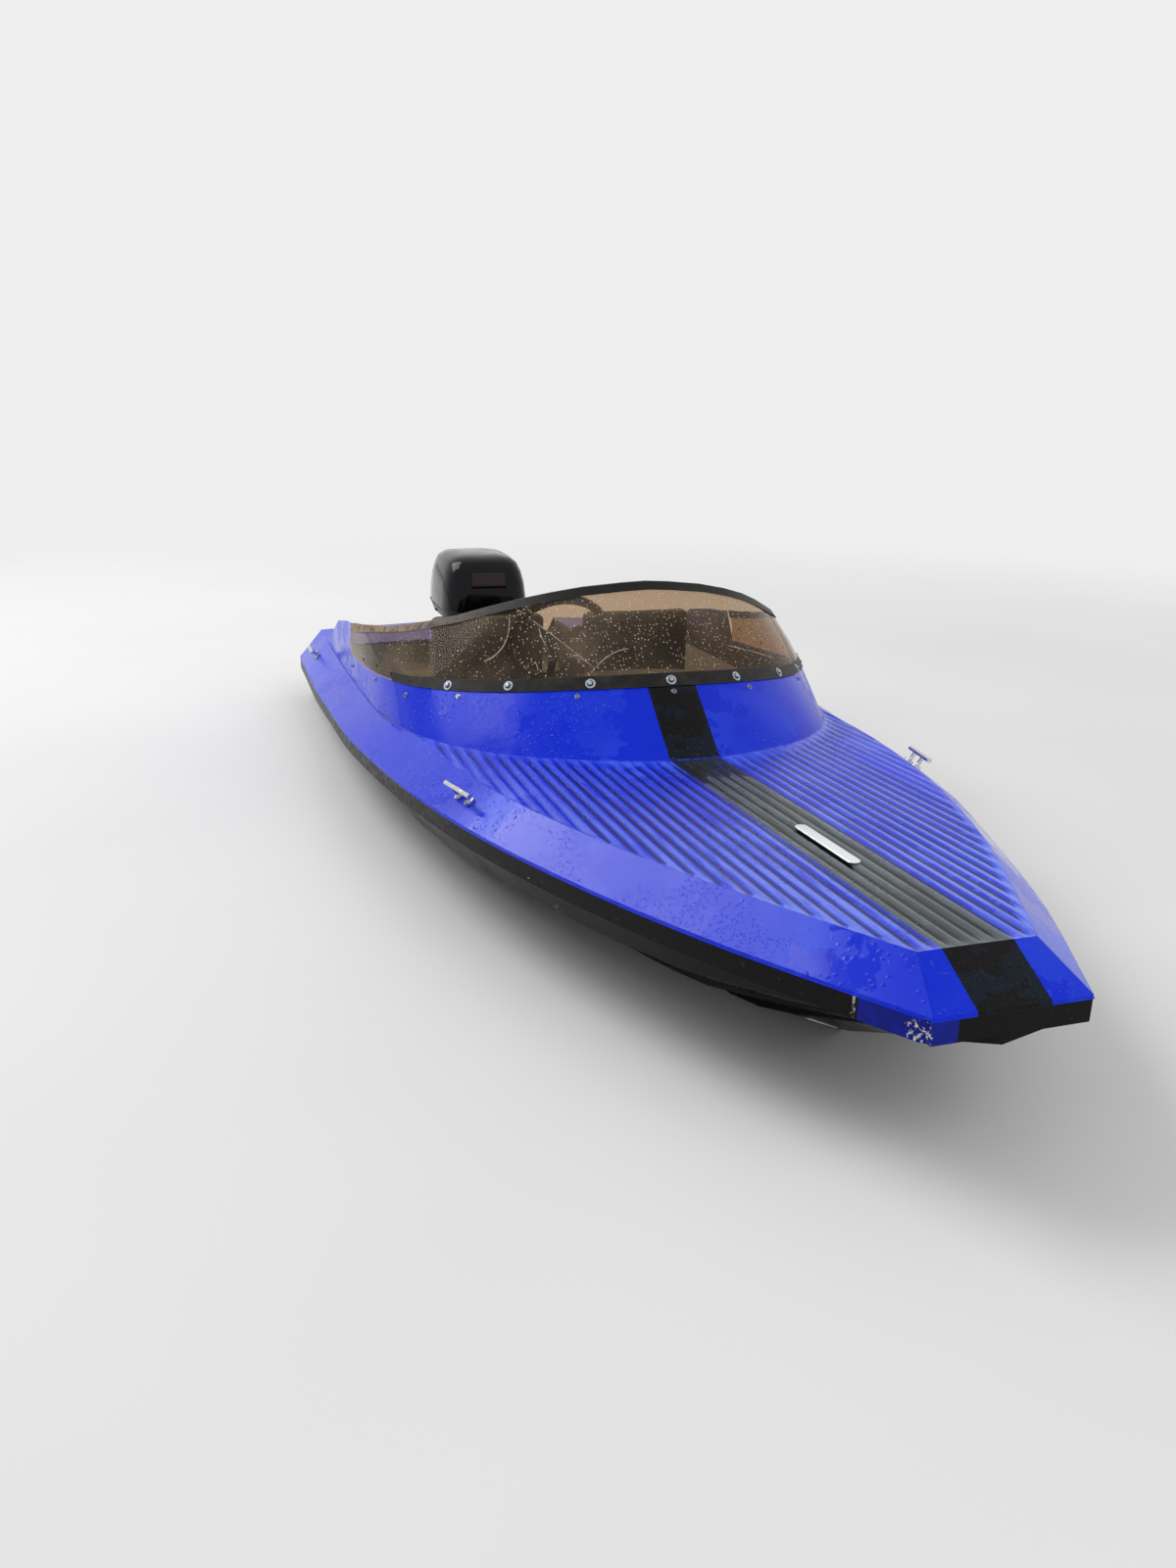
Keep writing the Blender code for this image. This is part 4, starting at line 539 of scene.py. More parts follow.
def line_inside(obj, finish, level=False, thick=0.0):
    """Gives the faces that look into the cockpit their own finish, with level, its ledges as well.

    The lined faces move inwards by thick, so that the wall's outer side doesn't come through.
    """
    obj.data.materials.append(finish)
    ways = {}
    for face in obj.data.polygons:
        inward = (COCKPIT_MIDDLE - face.center).xy.normalized()
        ledge = level and face.normal.z > LEDGE_UP and face.center.y < LEDGE_BACK
        if face.normal.xy.dot(inward) > INSIDE_FACING or ledge:
            face.material_index = 1
            for index in face.vertices:
                ways[index] = ways.get(index, Vector((0, 0))) + face.normal.xy
    for index, way in ways.items():
        obj.data.vertices[index].co += way.normalized().to_3d() * thick


def line_hull(obj, finish):
    """Gives the hull's inner faces, which face in and have no hull above, their own finish."""
    obj.data.materials.append(finish)
    for face in obj.data.polygons:
        inward = face.normal.x * face.center.x < 0 or face.normal.z > INSIDE_UP
        start = face.center + face.normal * INSIDE_STEP
        if inward and onto("hull_shell", start, (0, 0, 1))[0] is None:
            face.material_index = 1


def facing(point, normal):
    """The matrix that puts an upright shape on a surface at point, along its normal."""
    turn = Vector((0, 0, 1)).rotation_difference(Vector(normal)).to_matrix().to_4x4()
    return Matrix.Translation(point) @ turn


def lathe(profile, steps=24):
    """A bmesh turned from (radius, height) pairs in millimetres that start and end on the axis."""
    bm = bmesh.new()
    points = [bm.verts.new((radius * MM, 0, height * MM)) for radius, height in profile]
    edges = [bm.edges.new(pair) for pair in zip(points, points[1:])]
    bmesh.ops.spin(bm, geom=points + edges, cent=(0, 0, 0), axis=(0, 0, 1), angle=math.tau,
                   steps=steps, use_merge=True, use_duplicate=False)
    bmesh.ops.remove_doubles(bm, verts=bm.verts, dist=WELD)
    bmesh.ops.recalc_face_normals(bm, faces=bm.faces)
    return bm


def block(size, rounding, segments=3, corner=0.0):
    """An upright box round the origin with rounded edges, its upright ones rounded by corner."""
    bm = bmesh.new()
    bmesh.ops.create_cube(bm, size=1, matrix=Matrix.Diagonal((*size, 1)))
    if corner:
        upright = [e for e in bm.edges if abs(e.verts[0].co.z - e.verts[1].co.z) > size[2] / 2]
        bmesh.ops.bevel(bm, geom=upright, offset=corner, segments=segments + 3, profile=0.5,
                        affect="EDGES", material=-1)
    bmesh.ops.bevel(bm, geom=sharp_edges(bm), offset=rounding, segments=segments, profile=0.5,
                    affect="EDGES", material=-1)
    return bm


def moved(bm, place):
    """The same bmesh, put where the matrix says."""
    bmesh.ops.transform(bm, matrix=place, verts=bm.verts)
    return bm


def placed(patterns):
    """One bmesh from pairs of a pattern and the matrices it is put at."""
    bm = bmesh.new()
    for pattern, places in patterns:
        mesh = mesh_from(pattern, "pattern")
        for place in places:
            start = len(bm.verts)
            bm.from_mesh(mesh)
            bm.verts.ensure_lookup_table()
            bmesh.ops.transform(bm, matrix=place, verts=bm.verts[start:])
        bpy.data.meshes.remove(mesh)
    return bm


def joined(*parts):
    """One bmesh from several."""
    return placed((part, (Matrix(),)) for part in parts)


def copies(pattern, places):
    """One bmesh with the pattern at each matrix."""
    return placed([(pattern, places)])


def smooth_line(points, spans, closed=False):
    """A line through the points, with spans steps between each two (Catmull-Rom)."""
    points = [Vector(point) for point in points]
    last = len(points) - 1
    line = []
    for k in range(last + closed):
        near = [k + j for j in (-1, 0, 1, 2)]
        a, b, c, d = (points[j % (last + 1) if closed else min(max(j, 0), last)] for j in near)
        for step in range(spans):
            t = step / spans
            line.append(0.5 * (2 * b + (c - a) * t + (2 * a - 5 * b + 4 * c - d) * t * t
                               + (3 * b - a - 3 * c + d) * t ** 3))
    return line if closed else line + [points[-1]]


def baked(obj):
    """The object's mesh, evaluated, with its modifiers applied."""
    bpy.context.view_layer.update()
    seen = obj.evaluated_get(bpy.context.evaluated_depsgraph_get())
    mesh = bpy.data.meshes.new_from_object(seen)
    obj.modifiers.clear()
    return mesh


def taken(obj):
    """The object's evaluated shape as a bmesh; the object is removed."""
    mesh = baked(obj)
    bm = bmesh.new()
    bm.from_mesh(mesh)
    bpy.data.objects.remove(obj)
    bpy.data.meshes.remove(mesh)
    return bm


TUBE_RESOLUTION = 2


def tube(points, radius, closed=False):
    """A round tube along a line, as a bmesh."""
    data = bpy.data.curves.new("tube", "CURVE")
    data.dimensions = "3D"
    data.bevel_depth = radius
    data.bevel_resolution = TUBE_RESOLUTION
    data.use_fill_caps = not closed
    spline = data.splines.new("POLY")
    spline.points.add(len(points) - 1)
    for spot, point in zip(spline.points, points):
        spot.co = (*point, 1)
    spline.use_cyclic_u = closed
    bm = taken(in_scene("tube", data))
    bmesh.ops.remove_doubles(bm, verts=bm.verts, dist=WELD)
    bmesh.ops.recalc_face_normals(bm, faces=bm.faces)
    return bm


trees = {}


def tree_of(node):
    """The search tree of a CAD node, made once."""
    if node not in trees:
        bm = merged(node)
        trees[node] = BVHTree.FromBMesh(bm)
        bm.free()
    return trees[node]


def onto(node, start, direction):
    """Where a ray meets a CAD node, and the outward normal there."""
    point, normal, _, _ = tree_of(node).ray_cast(Vector(start), Vector(direction))
    return point, normal


def nearest(node, point):
    """The matrix of an upright shape that stands on a CAD node, nearest to this point."""
    spot, normal, _, _ = tree_of(node).find_nearest(Vector(point))
    return facing(spot, normal)


# How far outside a shape its rays start
RAY_START = 2
PRESS_START = 0.5


def outline(tree, centre, across, steps):
    """Where rays that come in from all round, towards the centre, meet a shape."""
    line = []
    for k in range(steps):
        turn = math.tau * k / steps
        way = Vector()
        way[across[0]], way[across[1]] = math.cos(turn), math.sin(turn)
        hit = tree.ray_cast(centre + way * RAY_START, -way)[0]
        if hit:
            line.append(hit)
    return line


def both_sides(points):
    """The points, and each one off the middle again on the starboard side."""
    return list(points) + [(-x, y, z) for x, y, z in points if abs(x) > MM]


def laid_on(bm, node, start, direction):
    """Presses a flat shape, drawn round the plane at start, onto a node; its thickness stays."""
    start, direction = Vector(start), Vector(direction)
    for vert in bm.verts:
        height = (vert.co - start).dot(direction)
        hit, _ = onto(node, vert.co - direction * (height + PRESS_START), direction)
        if hit:
            vert.co = hit + direction * height
    return bm


# Camera, light and floor

def add_camera():
    """The photograph's camera, turned by its heading, its tilt and its roll."""
    data = bpy.data.cameras.new("camera")
    data.lens = CAMERA_LENS
    data.sensor_width = CAMERA_SENSOR
    camera = in_scene("camera", data)
    heading = Matrix.Rotation(-CAMERA_YAW, 4, "Z")
    tilt = Matrix.Rotation(math.pi / 2 - CAMERA_PITCH, 4, "X")
    roll = Matrix.Rotation(CAMERA_ROLL, 4, "Z")
    camera.matrix_world = Matrix.Translation(CAMERA_PLACE) @ heading @ tilt @ roll
    bpy.context.scene.camera = camera


def add_lamp(name, place, size, power, mirrored):
    """A soft square lamp; glossy surfaces mirror it only where mirrored is set."""
    data = bpy.data.lights.new(name, "AREA")
    data.size = size
    data.energy = power
    lamp = in_scene(name, data)
    lamp.visible_glossy = mirrored
    lamp.location = place
    lamp.rotation_euler = (LAMP_AIM - Vector(place)).to_track_quat("-Z", "Y").to_euler()


def add_world():
    """Even light, seen as a pale backdrop behind the object and in its reflections."""
    world = bpy.data.worlds.new("studio")
    sky = Nodes(world)
    seen = sky.node("LightPath", output="Is Camera Ray")
    for kind in ("Is Glossy Ray", "Is Transmission Ray"):
        seen = seen.sums("MAXIMUM", seen, sky.node("LightPath", output=kind))
    strength = {"Value": seen, "To Min": STUDIO_LEVEL, "To Max": BACKDROP}
    back = sky.tree.nodes["Background"]
    back.inputs["Color"].default_value = (1, 1, 1, 1)
    sky.join(back.inputs["Strength"], sky.node("MapRange", strength))
    bpy.context.scene.world = world


def waterline():
    """The hull's outline a hair above the floor: starboard from the bow, then back along port."""
    side = []
    for k in range(WATERLINE_POINTS + 1):
        y = BOW_Y + (STERN_Y - BOW_Y) * k / WATERLINE_POINTS
        hits = [onto(node, (-FLOOR_HALF, y, WATERLINE_RISE), (1, 0, 0))[0]
                for node in ("hull_shell", "transom")]
        across = [point.x for point in hits if point]
        if across:
            side.append(Vector((min(across), y, 0)))
    return side + [Vector((-point.x, point.y, 0)) for point in reversed(side)]


def add_floor():
    """A wide pale floor at the waterline, open where the hull goes through it."""
    shore = waterline()
    bm = bmesh.new()
    inner = [bm.verts.new(point) for point in shore]
    outer = [bm.verts.new(point * (FLOOR_HALF / max(point.length, 1.0))) for point in shore]
    for ring in (inner, outer):
        for pair in zip(ring, ring[1:] + ring[:1]):
            bm.edges.new(pair)
    bmesh.ops.bridge_loops(bm, edges=bm.edges[:])
    bmesh.ops.recalc_face_normals(bm, faces=bm.faces)
    if sum(face.normal.z for face in bm.faces) < 0:
        bmesh.ops.reverse_faces(bm, faces=bm.faces)
    floor = in_scene("floor", mesh_from(bm, "floor"))
    f = Finish("floor_pale", Roughness=0.6, Specular_IOR_Level=0.2)
    soft = f.ease(f.noise(0.7, 2, 0.5), 0.3, 0.7)
    where = f.node("TexCoord", output="Object")
    away = f.node("VectorMath", {0: where}, "Value", operation="LENGTH")
    seen = f.node("LightPath", output="Is Camera Ray")
    far = f.ease(away, FLOOR_FADE_START, FLOOR_FADE_END) * seen
    f.cover(far, f.node("Emission", {"Strength": BACKDROP}))
    floor.data.materials.append(f.set(Base_Color=f.blend(soft, FLOOR_LIGHT, FLOOR_PALE)))


# Hull and deck surfaces

RIM_RADIUS = 2.4 * MM
BENCH_ROUND = 6 * MM
DASH_ROUND = 7 * MM


def sides(*names):
    """The port and the starboard node of each name."""
    return [f"{name}_{side}" for name in names for side in ("port", "starboard")]


def mark_grooves(panel):
    """Stores on the ribbed panel how deep each point lies under the crowns beside it."""
    depth = panel.data.attributes.new(DEPTH_NAME, "FLOAT", "POINT")
    for vert, mark in zip(panel.data.vertices, depth.data):
        x, y, z = vert.co
        first = math.floor(x / RIB_PITCH) * RIB_PITCH
        crowns = [onto("foredeck_ribbed", (side, y, 1), (0, 0, -1))[0]
                  for side in (first, first + RIB_PITCH)]
        tops = [crown.z for crown in crowns if crown]
        share = (x - first) / RIB_PITCH
        if len(tops) == 2:
            level = tops[0] + (tops[1] - tops[0]) * share
            mark.value = min(max((level - z) / RIB_DEPTH, 0), 1)


def add_deck_rim(blue):
    """The rounded lip of the deck over the flange, from the port quarter round the bow."""
    line = []
    for node in ("flange_port", "flange_bow", "flange_starboard"):
        corners = {}
        for vert in frame["nodes"][node].data.vertices:
            place = (round(vert.co.y, 3), vert.co.x > 0)
            best = corners.get(place)
            if best is None or vert.co.z + abs(vert.co.x) > best.z + abs(best.x):
                corners[place] = vert.co.copy()
        line += sorted(corners.values(), key=lambda point: point.y, reverse=node == "flange_port")
    bow = [point for point in line if point.y < BOW_Y + MM]
    port = [point for point in line if point.x > 0 and point.y >= BOW_Y + MM]
    starboard = [point for point in line if point.x <= 0 and point.y >= BOW_Y + MM]
    bow.sort(key=lambda point: point.x, reverse=True)
    piece(tube(port + bow + starboard, RIM_RADIUS), "deck_rim", blue)


def dress_hull():
    blue = deck_blue("deck_blue")
    striped = deck_blue("deck_blue_striped", striped=True, patchiness=0.45, gloss=0.12)
    ribs = deck_blue("deck_blue_ribbed", striped=True, ribbed=True, gloss=0.3)
    black = hull_black()
    edge = flange_black()
    mark_grooves(dressed("foredeck_ribbed", ribs, crease=RIB_CREASE))
    dressed("bow_facet", striped)
    inside = liner("coaming_lining", (0.110, 0.105, 0.098, 1), (0.060, 0.058, 0.054, 1))
    surround = dressed("coaming", striped, crease=COAMING_CREASE)
    line_inside(surround, inside, thick=LINING_THICK)
    for node in sides("foredeck_margin", "stern_deck"):
        dressed(node, blue)
    for node in sides("side_deck"):
        line_inside(dressed(node, blue), inside, level=True)
    raw = liner("hull_lining", (0.085, 0.085, 0.082, 1), (0.050, 0.050, 0.048, 1))
    line_hull(dressed("hull_shell", black, crease=HULL_CREASE), raw)
    dressed("transom", black, crease=HULL_CREASE)
    for node in sides("flange") + ["flange_bow"]:
        dressed(node, edge)
    dressed("motor_well", black)
    add_coaming_bead(blue)
    add_deck_rim(striped)


def dress_screen():
    dressed("windscreen", acrylic())
    band = rubber("band_rubber", (0.010, 0.009, 0.009, 1), 0.25)
    dressed("screen_foot_band", band)
    trim = rubber("trim_rubber", (0.006, 0.006, 0.006, 1), 0.15, True)
    dressed("screen_top_trim", trim)


def dress_cockpit():
    grey = liner("liner_grey", (0.15, 0.15, 0.145, 1), (0.075, 0.075, 0.075, 1))
    for node in ("cockpit_sole", *sides("cockpit_liner"), "cockpit_bulkhead"):
        dressed(node, grey)
    for node in ("rear_bench", "driver_seat_plinth", "passenger_seat_plinth"):
        dressed(node, grey, rounding=BENCH_ROUND)
    dash = vinyl("dash_vinyl", (0.013, 0.013, 0.014, 1))
    dressed("dashboard", dash, rounding=DASH_ROUND)
    column = rubber("column_plastic", (0.012, 0.012, 0.012, 1), 0.2)
    dressed("steering_column", column)
    grip = rubber("wheel_grip", (0.010, 0.010, 0.010, 1), 0.2)
    dressed("steering_wheel", grip, body="wheel", crease=ROUND_CREASE)


def dress_motor():
    steel = metal("stainless", (0.62, 0.63, 0.64, 1), 0.12)
    casting = motor_paint("motor_casting", (0.010, 0.010, 0.011, 1), 0.34, 0.05)
    gloss = motor_paint("motor_gloss", (0.002, 0.002, 0.004, 1), 0.10, 0.14)
    for node in sides("cleat_fore", "cleat_stern"):
        dressed(node, steel, crease=ROUND_CREASE)
    for node, body in (("clamp_bracket", "hull"), ("swivel_bracket", "tilt"),
                       ("motor_leg", "engine"), ("lower_pan", "engine")):
        dressed(node, casting, body)
    dressed("upper_cowl", gloss, body="engine", crease=ROUND_CREASE)
    iron = metal("block_iron", (0.20, 0.20, 0.20, 1), 0.4)
    dressed("engine_block", iron, body="engine")
    dressed("gearcase", antifoul(), body="engine")
    add_cowl_panel(gloss, motor_paint("panel_paint", (0.034, 0.021, 0.023, 1), 0.30, 0.1))
    add_motor_fittings(casting)
    bright = metal("propeller_metal", (0.45, 0.44, 0.42, 1), 0.25, 0.5)
    dressed("propeller", bright, body="propeller", crease=ROUND_CREASE)


# Fittings on deck and screen

# Profiles in millimetres: radius, height
BOLT_PROFILE = ((0, -0.5), (15.0, -0.5), (15.0, 1.2), (14.3, 1.9), (6.6, 2.1), (6.4, 4.6),
                (5.6, 6.4), (3.2, 7.6), (0, 8.0))
# A dark ring under each bolt head, painted shade between the head and its washer
SHADE_RING_PROFILE = ((0, 1.5), (9.0, 1.5), (9.0, 2.5), (8.4, 3.0), (0, 3.0))
SNAP_PROFILE = ((0, -0.5), (7.8, -0.5), (7.8, 0.7), (6.8, 1.5), (4.9, 1.6), (4.8, 3.2), (5.6, 4.5),
                (5.2, 5.6), (3.6, 5.6), (3.3, 1.2), (0, 1.0))
SCREW_PROFILE = ((0, -0.5), (5.2, -0.5), (5.2, 0.6), (4.0, 2.0), (2.0, 2.8), (0, 3.0))
# Places of the fastenings, port side
BAND_BOLTS = ((0, -0.342, 0.532), (0.226, -0.291, 0.521), (0.433, -0.156, 0.494),
              (0.580, 0.004, 0.4665))
SNAPS = ((0, -0.366, 0.504), (0.267, -0.299, 0.488), (0.560, -0.051, 0.444), (0.686, 0.144, 0.410),
         (0.7425, 0.4185, 0.401), (0.7636, 0.8815, 0.350))
BAND_SCREWS = ((0.671, 0.153, 0.454), (0.712, 0.263, 0.4538))
SCREEN_SCREWS = ((0.738, 0.418, 0.447), (0.754, 0.624, 0.425), (0.756, 0.8405, 0.440))
# The coaming's foot from the bow to the stern, port side: x, y
COAMING_FOOT = (
    (0.0, -0.546), (0.0735, -0.542), (0.187, -0.511), (0.286, -0.468), (0.383, -0.4095),
    (0.474, -0.3315), (0.556, -0.234), (0.626, -0.117), (0.683, 0.0195), (0.7235, 0.1716),
    (0.749, 0.3705), (0.760, 0.6513), (0.768, 0.9087), (0.769, 0.9516), (0.7726, 1.1505),
    (0.7753, 1.3494), (0.7762, 1.5015), (0.7762, 1.640),
)
DECK_NODES = ["foredeck_ribbed"] + sides("foredeck_margin", "side_deck", "stern_deck")
BEAD_RADIUS = 1.6 * MM
BEAD_OUT = 1.5 * MM
BAR_SIZE = (30 * MM, 262 * MM, 4.5 * MM)
BAR_PLACE = (0, -1.285)
BAR_CORNER = 14.5 * MM
BAR_ROUND = 2.2 * MM


def add_fastenings():
    pale = metal("bolt_metal", (0.42, 0.47, 0.52, 1), 0.30, 0.5)
    dark = metal("snap_metal", (0.34, 0.35, 0.37, 1), 0.30, 0.5)
    black = metal("screw_and_shade_ring_black", (0.035, 0.035, 0.035, 1), 0.35, 0.4)
    bolts = [nearest("screen_foot_band", p) for p in both_sides(BAND_BOLTS)]
    piece(copies(lathe(BOLT_PROFILE), bolts), "band_bolts", pale)
    # painted shade: dark rings between the bolt heads and their washers
    piece(copies(lathe(SHADE_RING_PROFILE), bolts), "bolt_shade_rings", black)
    piece(copies(lathe(SNAP_PROFILE), [nearest("coaming", p) for p in both_sides(SNAPS)]),
          "cover_snaps", dark)
    places = [nearest("screen_foot_band", p) for p in both_sides(BAND_SCREWS)]
    places += [nearest("windscreen", p) for p in both_sides(SCREEN_SCREWS)]
    piece(copies(lathe(SCREW_PROFILE), places), "screen_screws", black)


def deck_height(x, y):
    """Top of the deck at a place in plan."""
    hits = [onto(node, (x, y, 1), (0, 0, -1))[0] for node in DECK_NODES]
    return max((hit.z for hit in hits if hit), default=None)


def add_coaming_bead(blue):
    """The rounded line of filler where the coaming meets the deck."""
    port = smooth_line([(x, y, 0) for x, y in COAMING_FOOT], 4)
    line = [Vector((-p.x, p.y, 0)) for p in reversed(port[1:])] + port
    raised = []
    for k, p in enumerate(line):
        run = line[min(k + 1, len(line) - 1)] - line[max(k - 1, 0)]
        out = Vector((run.y, -run.x, 0)).normalized() * BEAD_OUT
        height = deck_height(p.x + out.x, p.y + out.y)
        if height is not None:
            raised.append(Vector((p.x + out.x, p.y + out.y, height)))
    piece(tube(raised, BEAD_RADIUS), "coaming_bead", blue)


def add_trim_bar():
    """A plain bar on the stripe, where the photograph's boat has its badge."""
    x, y = BAR_PLACE
    ends = [Vector((x, y + side * BAR_SIZE[1] / 2, deck_height(x, y + side * BAR_SIZE[1] / 2)))
            for side in (-1, 1)]
    run = ends[1] - ends[0]
    turn = Matrix.Rotation(math.atan2(run.z, run.y), 4, "X")
    middle = (ends[0] + ends[1]) / 2 + Vector((0, 0, BAR_SIZE[2] / 2))
    bm = block(BAR_SIZE, BAR_ROUND, 3, BAR_CORNER)
    piece(moved(bm, Matrix.Translation(middle) @ turn), "stripe_bar",
          metal("bar_metal", (0.90, 0.91, 0.92, 1), 0.30, 0.06))


# Seats

PAD_INSET = Vector((7 * MM, 7 * MM, 5 * MM))
PAD_ROUND = 20 * MM
PAD_VOXEL = 6 * MM
PAD_FRAMES = 20
PAD_PRESSURE = 4
PAD_CAP = 11 * MM
CHANNELS = (-0.075, 0.075)
CHANNEL_WIDTH = 6 * MM
CHANNEL_DEPTH = 7 * MM
WELT_RADIUS = 3.2 * MM
WELT_LEVEL_SHARE = 0.30
WELT_STEPS = 120


def swollen(bm, cap):
    """The shape blown up by cloth with pressure inside, no point moving more than cap."""
    obj = in_scene("pad", mesh_from(bm, "pad"))
    remesh = obj.modifiers.new("remesh", "REMESH")
    remesh.mode = "VOXEL"
    remesh.voxel_size = PAD_VOXEL
    obj.data = baked(obj)
    rest = [vert.co.copy() for vert in obj.data.vertices]
    cloth = obj.modifiers.new("cloth", "CLOTH")
    cloth.settings.use_pressure = True
    cloth.settings.uniform_pressure_force = PAD_PRESSURE
    cloth.settings.effector_weights.gravity = 0
    for frame_number in range(1, PAD_FRAMES + 1):
        bpy.context.scene.frame_set(frame_number)
    puffed = baked(obj)
    for vert, start in zip(puffed.vertices, rest):
        shift = vert.co - start
        if shift.length > cap:
            vert.co = start + shift * (cap / shift.length)
    obj.data = puffed
    bpy.context.scene.frame_set(1)
    finer = obj.modifiers.new("finer", "SUBSURF")
    finer.levels = finer.render_levels = 1
    return taken(obj)


def sew_channels(bm, middle, facing_way, along):
    """Presses two sewn grooves into the side of a pad that faces facing_way."""
    bm.normal_update()
    low, high = (pick(v.co[along] for v in bm.verts) for pick in (min, max))
    for vert in bm.verts:
        turned_to = max(vert.normal.dot(facing_way), 0)
        inside = min(vert.co[along] - low, high - vert.co[along]) / PAD_ROUND
        press = sum(math.exp(-((vert.co.x - middle - x) / CHANNEL_WIDTH) ** 2) for x in CHANNELS)
        vert.co -= facing_way * (CHANNEL_DEPTH * press * turned_to * min(inside, 1))


def welt(bm, low, high, across, up):
    """A welt round a pad, pressed into the surface it runs on."""
    centre = (low + high) / 2
    centre[up] = high[up] - (high[up] - low[up]) * WELT_LEVEL_SHARE
    line = outline(BVHTree.FromBMesh(bm), centre, across, WELT_STEPS)
    return tube(smooth_line(line, 2, True), WELT_RADIUS, True)


def mirrored_copy(bm):
    """The same shape on the other side of the boat."""
    other = bm.copy()
    bmesh.ops.transform(other, matrix=Matrix.Diagonal((-1, 1, 1, 1)), verts=other.verts)
    bmesh.ops.reverse_faces(other, faces=other.faces)
    return other


def add_pad(kind, facing_way, across, up, along, cover, edging):
    """The driver's pad of one kind and the passenger's, its mirror image."""
    low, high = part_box("driver_seat_" + kind)
    size = high - low - 2 * PAD_INSET
    middle = (low + high) / 2
    shape = moved(block(size, PAD_ROUND, 4), Matrix.Translation(middle))
    pad = swollen(shape, PAD_CAP)
    sew_channels(pad, middle.x, Vector(facing_way), along)
    edge = welt(pad, low, high, across, up)
    for seat, body, rim in (("passenger", mirrored_copy(pad), mirrored_copy(edge)),
                            ("driver", pad, edge)):
        made = piece(body, f"{seat}_{kind}_pad", cover, crease=math.pi)
        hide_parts(f"{seat}_seat_{kind}")
        piece(rim, f"{seat}_{kind}_welt", edging, crease=math.pi)


def add_seats():
    cover = vinyl("seat_vinyl", (0.020, 0.020, 0.022, 1))
    edging = vinyl("welt_vinyl", (0.045, 0.045, 0.048, 1))
    add_pad("cushion", (0, 0, 1), (0, 1), 2, 1, cover, edging)
    add_pad("back", (0, -1, 0), (0, 2), 1, 2, cover, edging)


# Helm

GAUGE_PROFILE = ((0, 0), (40, 0), (41, 2), (41, 7), (39, 9.5), (36.5, 9.5), (35.5, 7.5), (35, 3.5),
                 (0, 3.5))
KNOB_PROFILE = ((0, 0), (11, 0), (11, 2), (8, 3), (7.5, 9), (6.2, 10.5), (0, 11))
DISC_PROFILE = ((0, 3.4), (35, 3.4), (35, 3.7), (0, 3.7))
GAUGES = (0.045, 0.150)
GAUGE_LEVEL = 0.405
SWITCHES = (0.235, 0.265, 0.295, 0.325)
SWITCH_LEVEL = 0.400
ROCKER_SIZE = (17 * MM, 30 * MM, 10 * MM)
ROCKER_TILT = math.radians(7)
SURROUND_SIZE = (23 * MM, 38 * MM, 4 * MM)
KEY_PLACE = (-0.300, 0.400)
TICKS = 11
DIAL_HALF = 130
HUB_PROFILE = ((0, 0), (30, 0), (33, 2), (33, 5), (30, 7.5), (20, 8.5), (18, 7.6), (10, 8.8),
               (0, 9.2))


def on_dash(x, z):
    """The matrix of an upright shape on the dashboard's face, its top towards the crew."""
    point, back = onto("dashboard", (x, 0.6, z), (0, -1, 0))
    side = Vector((1, 0, 0))
    turn = Matrix((side, back.cross(side), back)).transposed().to_4x4()
    return Matrix.Translation(point) @ turn


def gauge_marks():
    """Ticks of a dial and its needle, on the gauge's own plane."""
    parts = []
    for k in range(TICKS):
        angle = math.radians(DIAL_HALF * (2 * k / (TICKS - 1) - 1))
        tick = block((1.4 * MM, (6 if k % 5 == 0 else 4) * MM, 0.5 * MM), 0.1 * MM, 1)
        parts.append(moved(tick, Matrix.Rotation(angle, 4, "Z")
                           @ Matrix.Translation((0, 29 * MM, 3.8 * MM))))
    needle = block((1.6 * MM, 26 * MM, 0.8 * MM), 0.2 * MM, 1)
    parts.append(moved(needle, Matrix.Rotation(math.radians(DIAL_HALF), 4, "Z")
                       @ Matrix.Translation((0, 11 * MM, 4.6 * MM))))
    return joined(*parts)


def add_helm():
    ring = metal("gauge_ring", (0.55, 0.55, 0.56, 1), 0.2, 0.3)
    plastic = rubber("switch_plastic", (0.012, 0.012, 0.012, 1), 0.3)
    marks = liner("dial_marks", (0.75, 0.75, 0.72, 1), (0.60, 0.60, 0.58, 1))
    places = [on_dash(x, GAUGE_LEVEL) for x in GAUGES]
    piece(copies(lathe(GAUGE_PROFILE, 48), places), "gauges", ring)
    piece(copies(lathe(DISC_PROFILE, 48), places), "gauge_dials", plastic)
    piece(copies(gauge_marks(), places), "gauge_marks", marks)
    tilt = Matrix.Rotation(ROCKER_TILT, 4, "X") @ Matrix.Translation((0, 0, 3 * MM))
    rocker = moved(block(ROCKER_SIZE, 2 * MM, 3, 3 * MM), tilt)
    surround = block(SURROUND_SIZE, 1.2 * MM, 2, 4 * MM)
    moved(surround, Matrix.Translation((0, 0, 1.5 * MM)))
    piece(copies(joined(rocker, surround), [on_dash(x, SWITCH_LEVEL) for x in SWITCHES]),
          "rocker_switches", plastic)
    knob = moved(lathe(KNOB_PROFILE), on_dash(*KEY_PLACE))
    piece(knob, "key_switch", ring)


def add_wheel_cap():
    """A dished cap on the steering wheel's hub."""
    joint = next(j for j in frame["joints"] if j["name"] == "steering_wheel_turn")
    axis = Vector(joint["axis"]).normalized()
    centre = Vector(joint["pos_m"])
    hit, _ = onto("steering_wheel", centre + axis * 0.3, -axis)
    cap = moved(lathe(HUB_PROFILE, 40), facing(hit - axis * 0.5 * MM, axis))
    gloss = motor_paint("wheel_cap_gloss", (0.010, 0.010, 0.010, 1), 0.25, 0.3)
    piece(cap, "wheel_cap", gloss, "wheel")


# Motor details

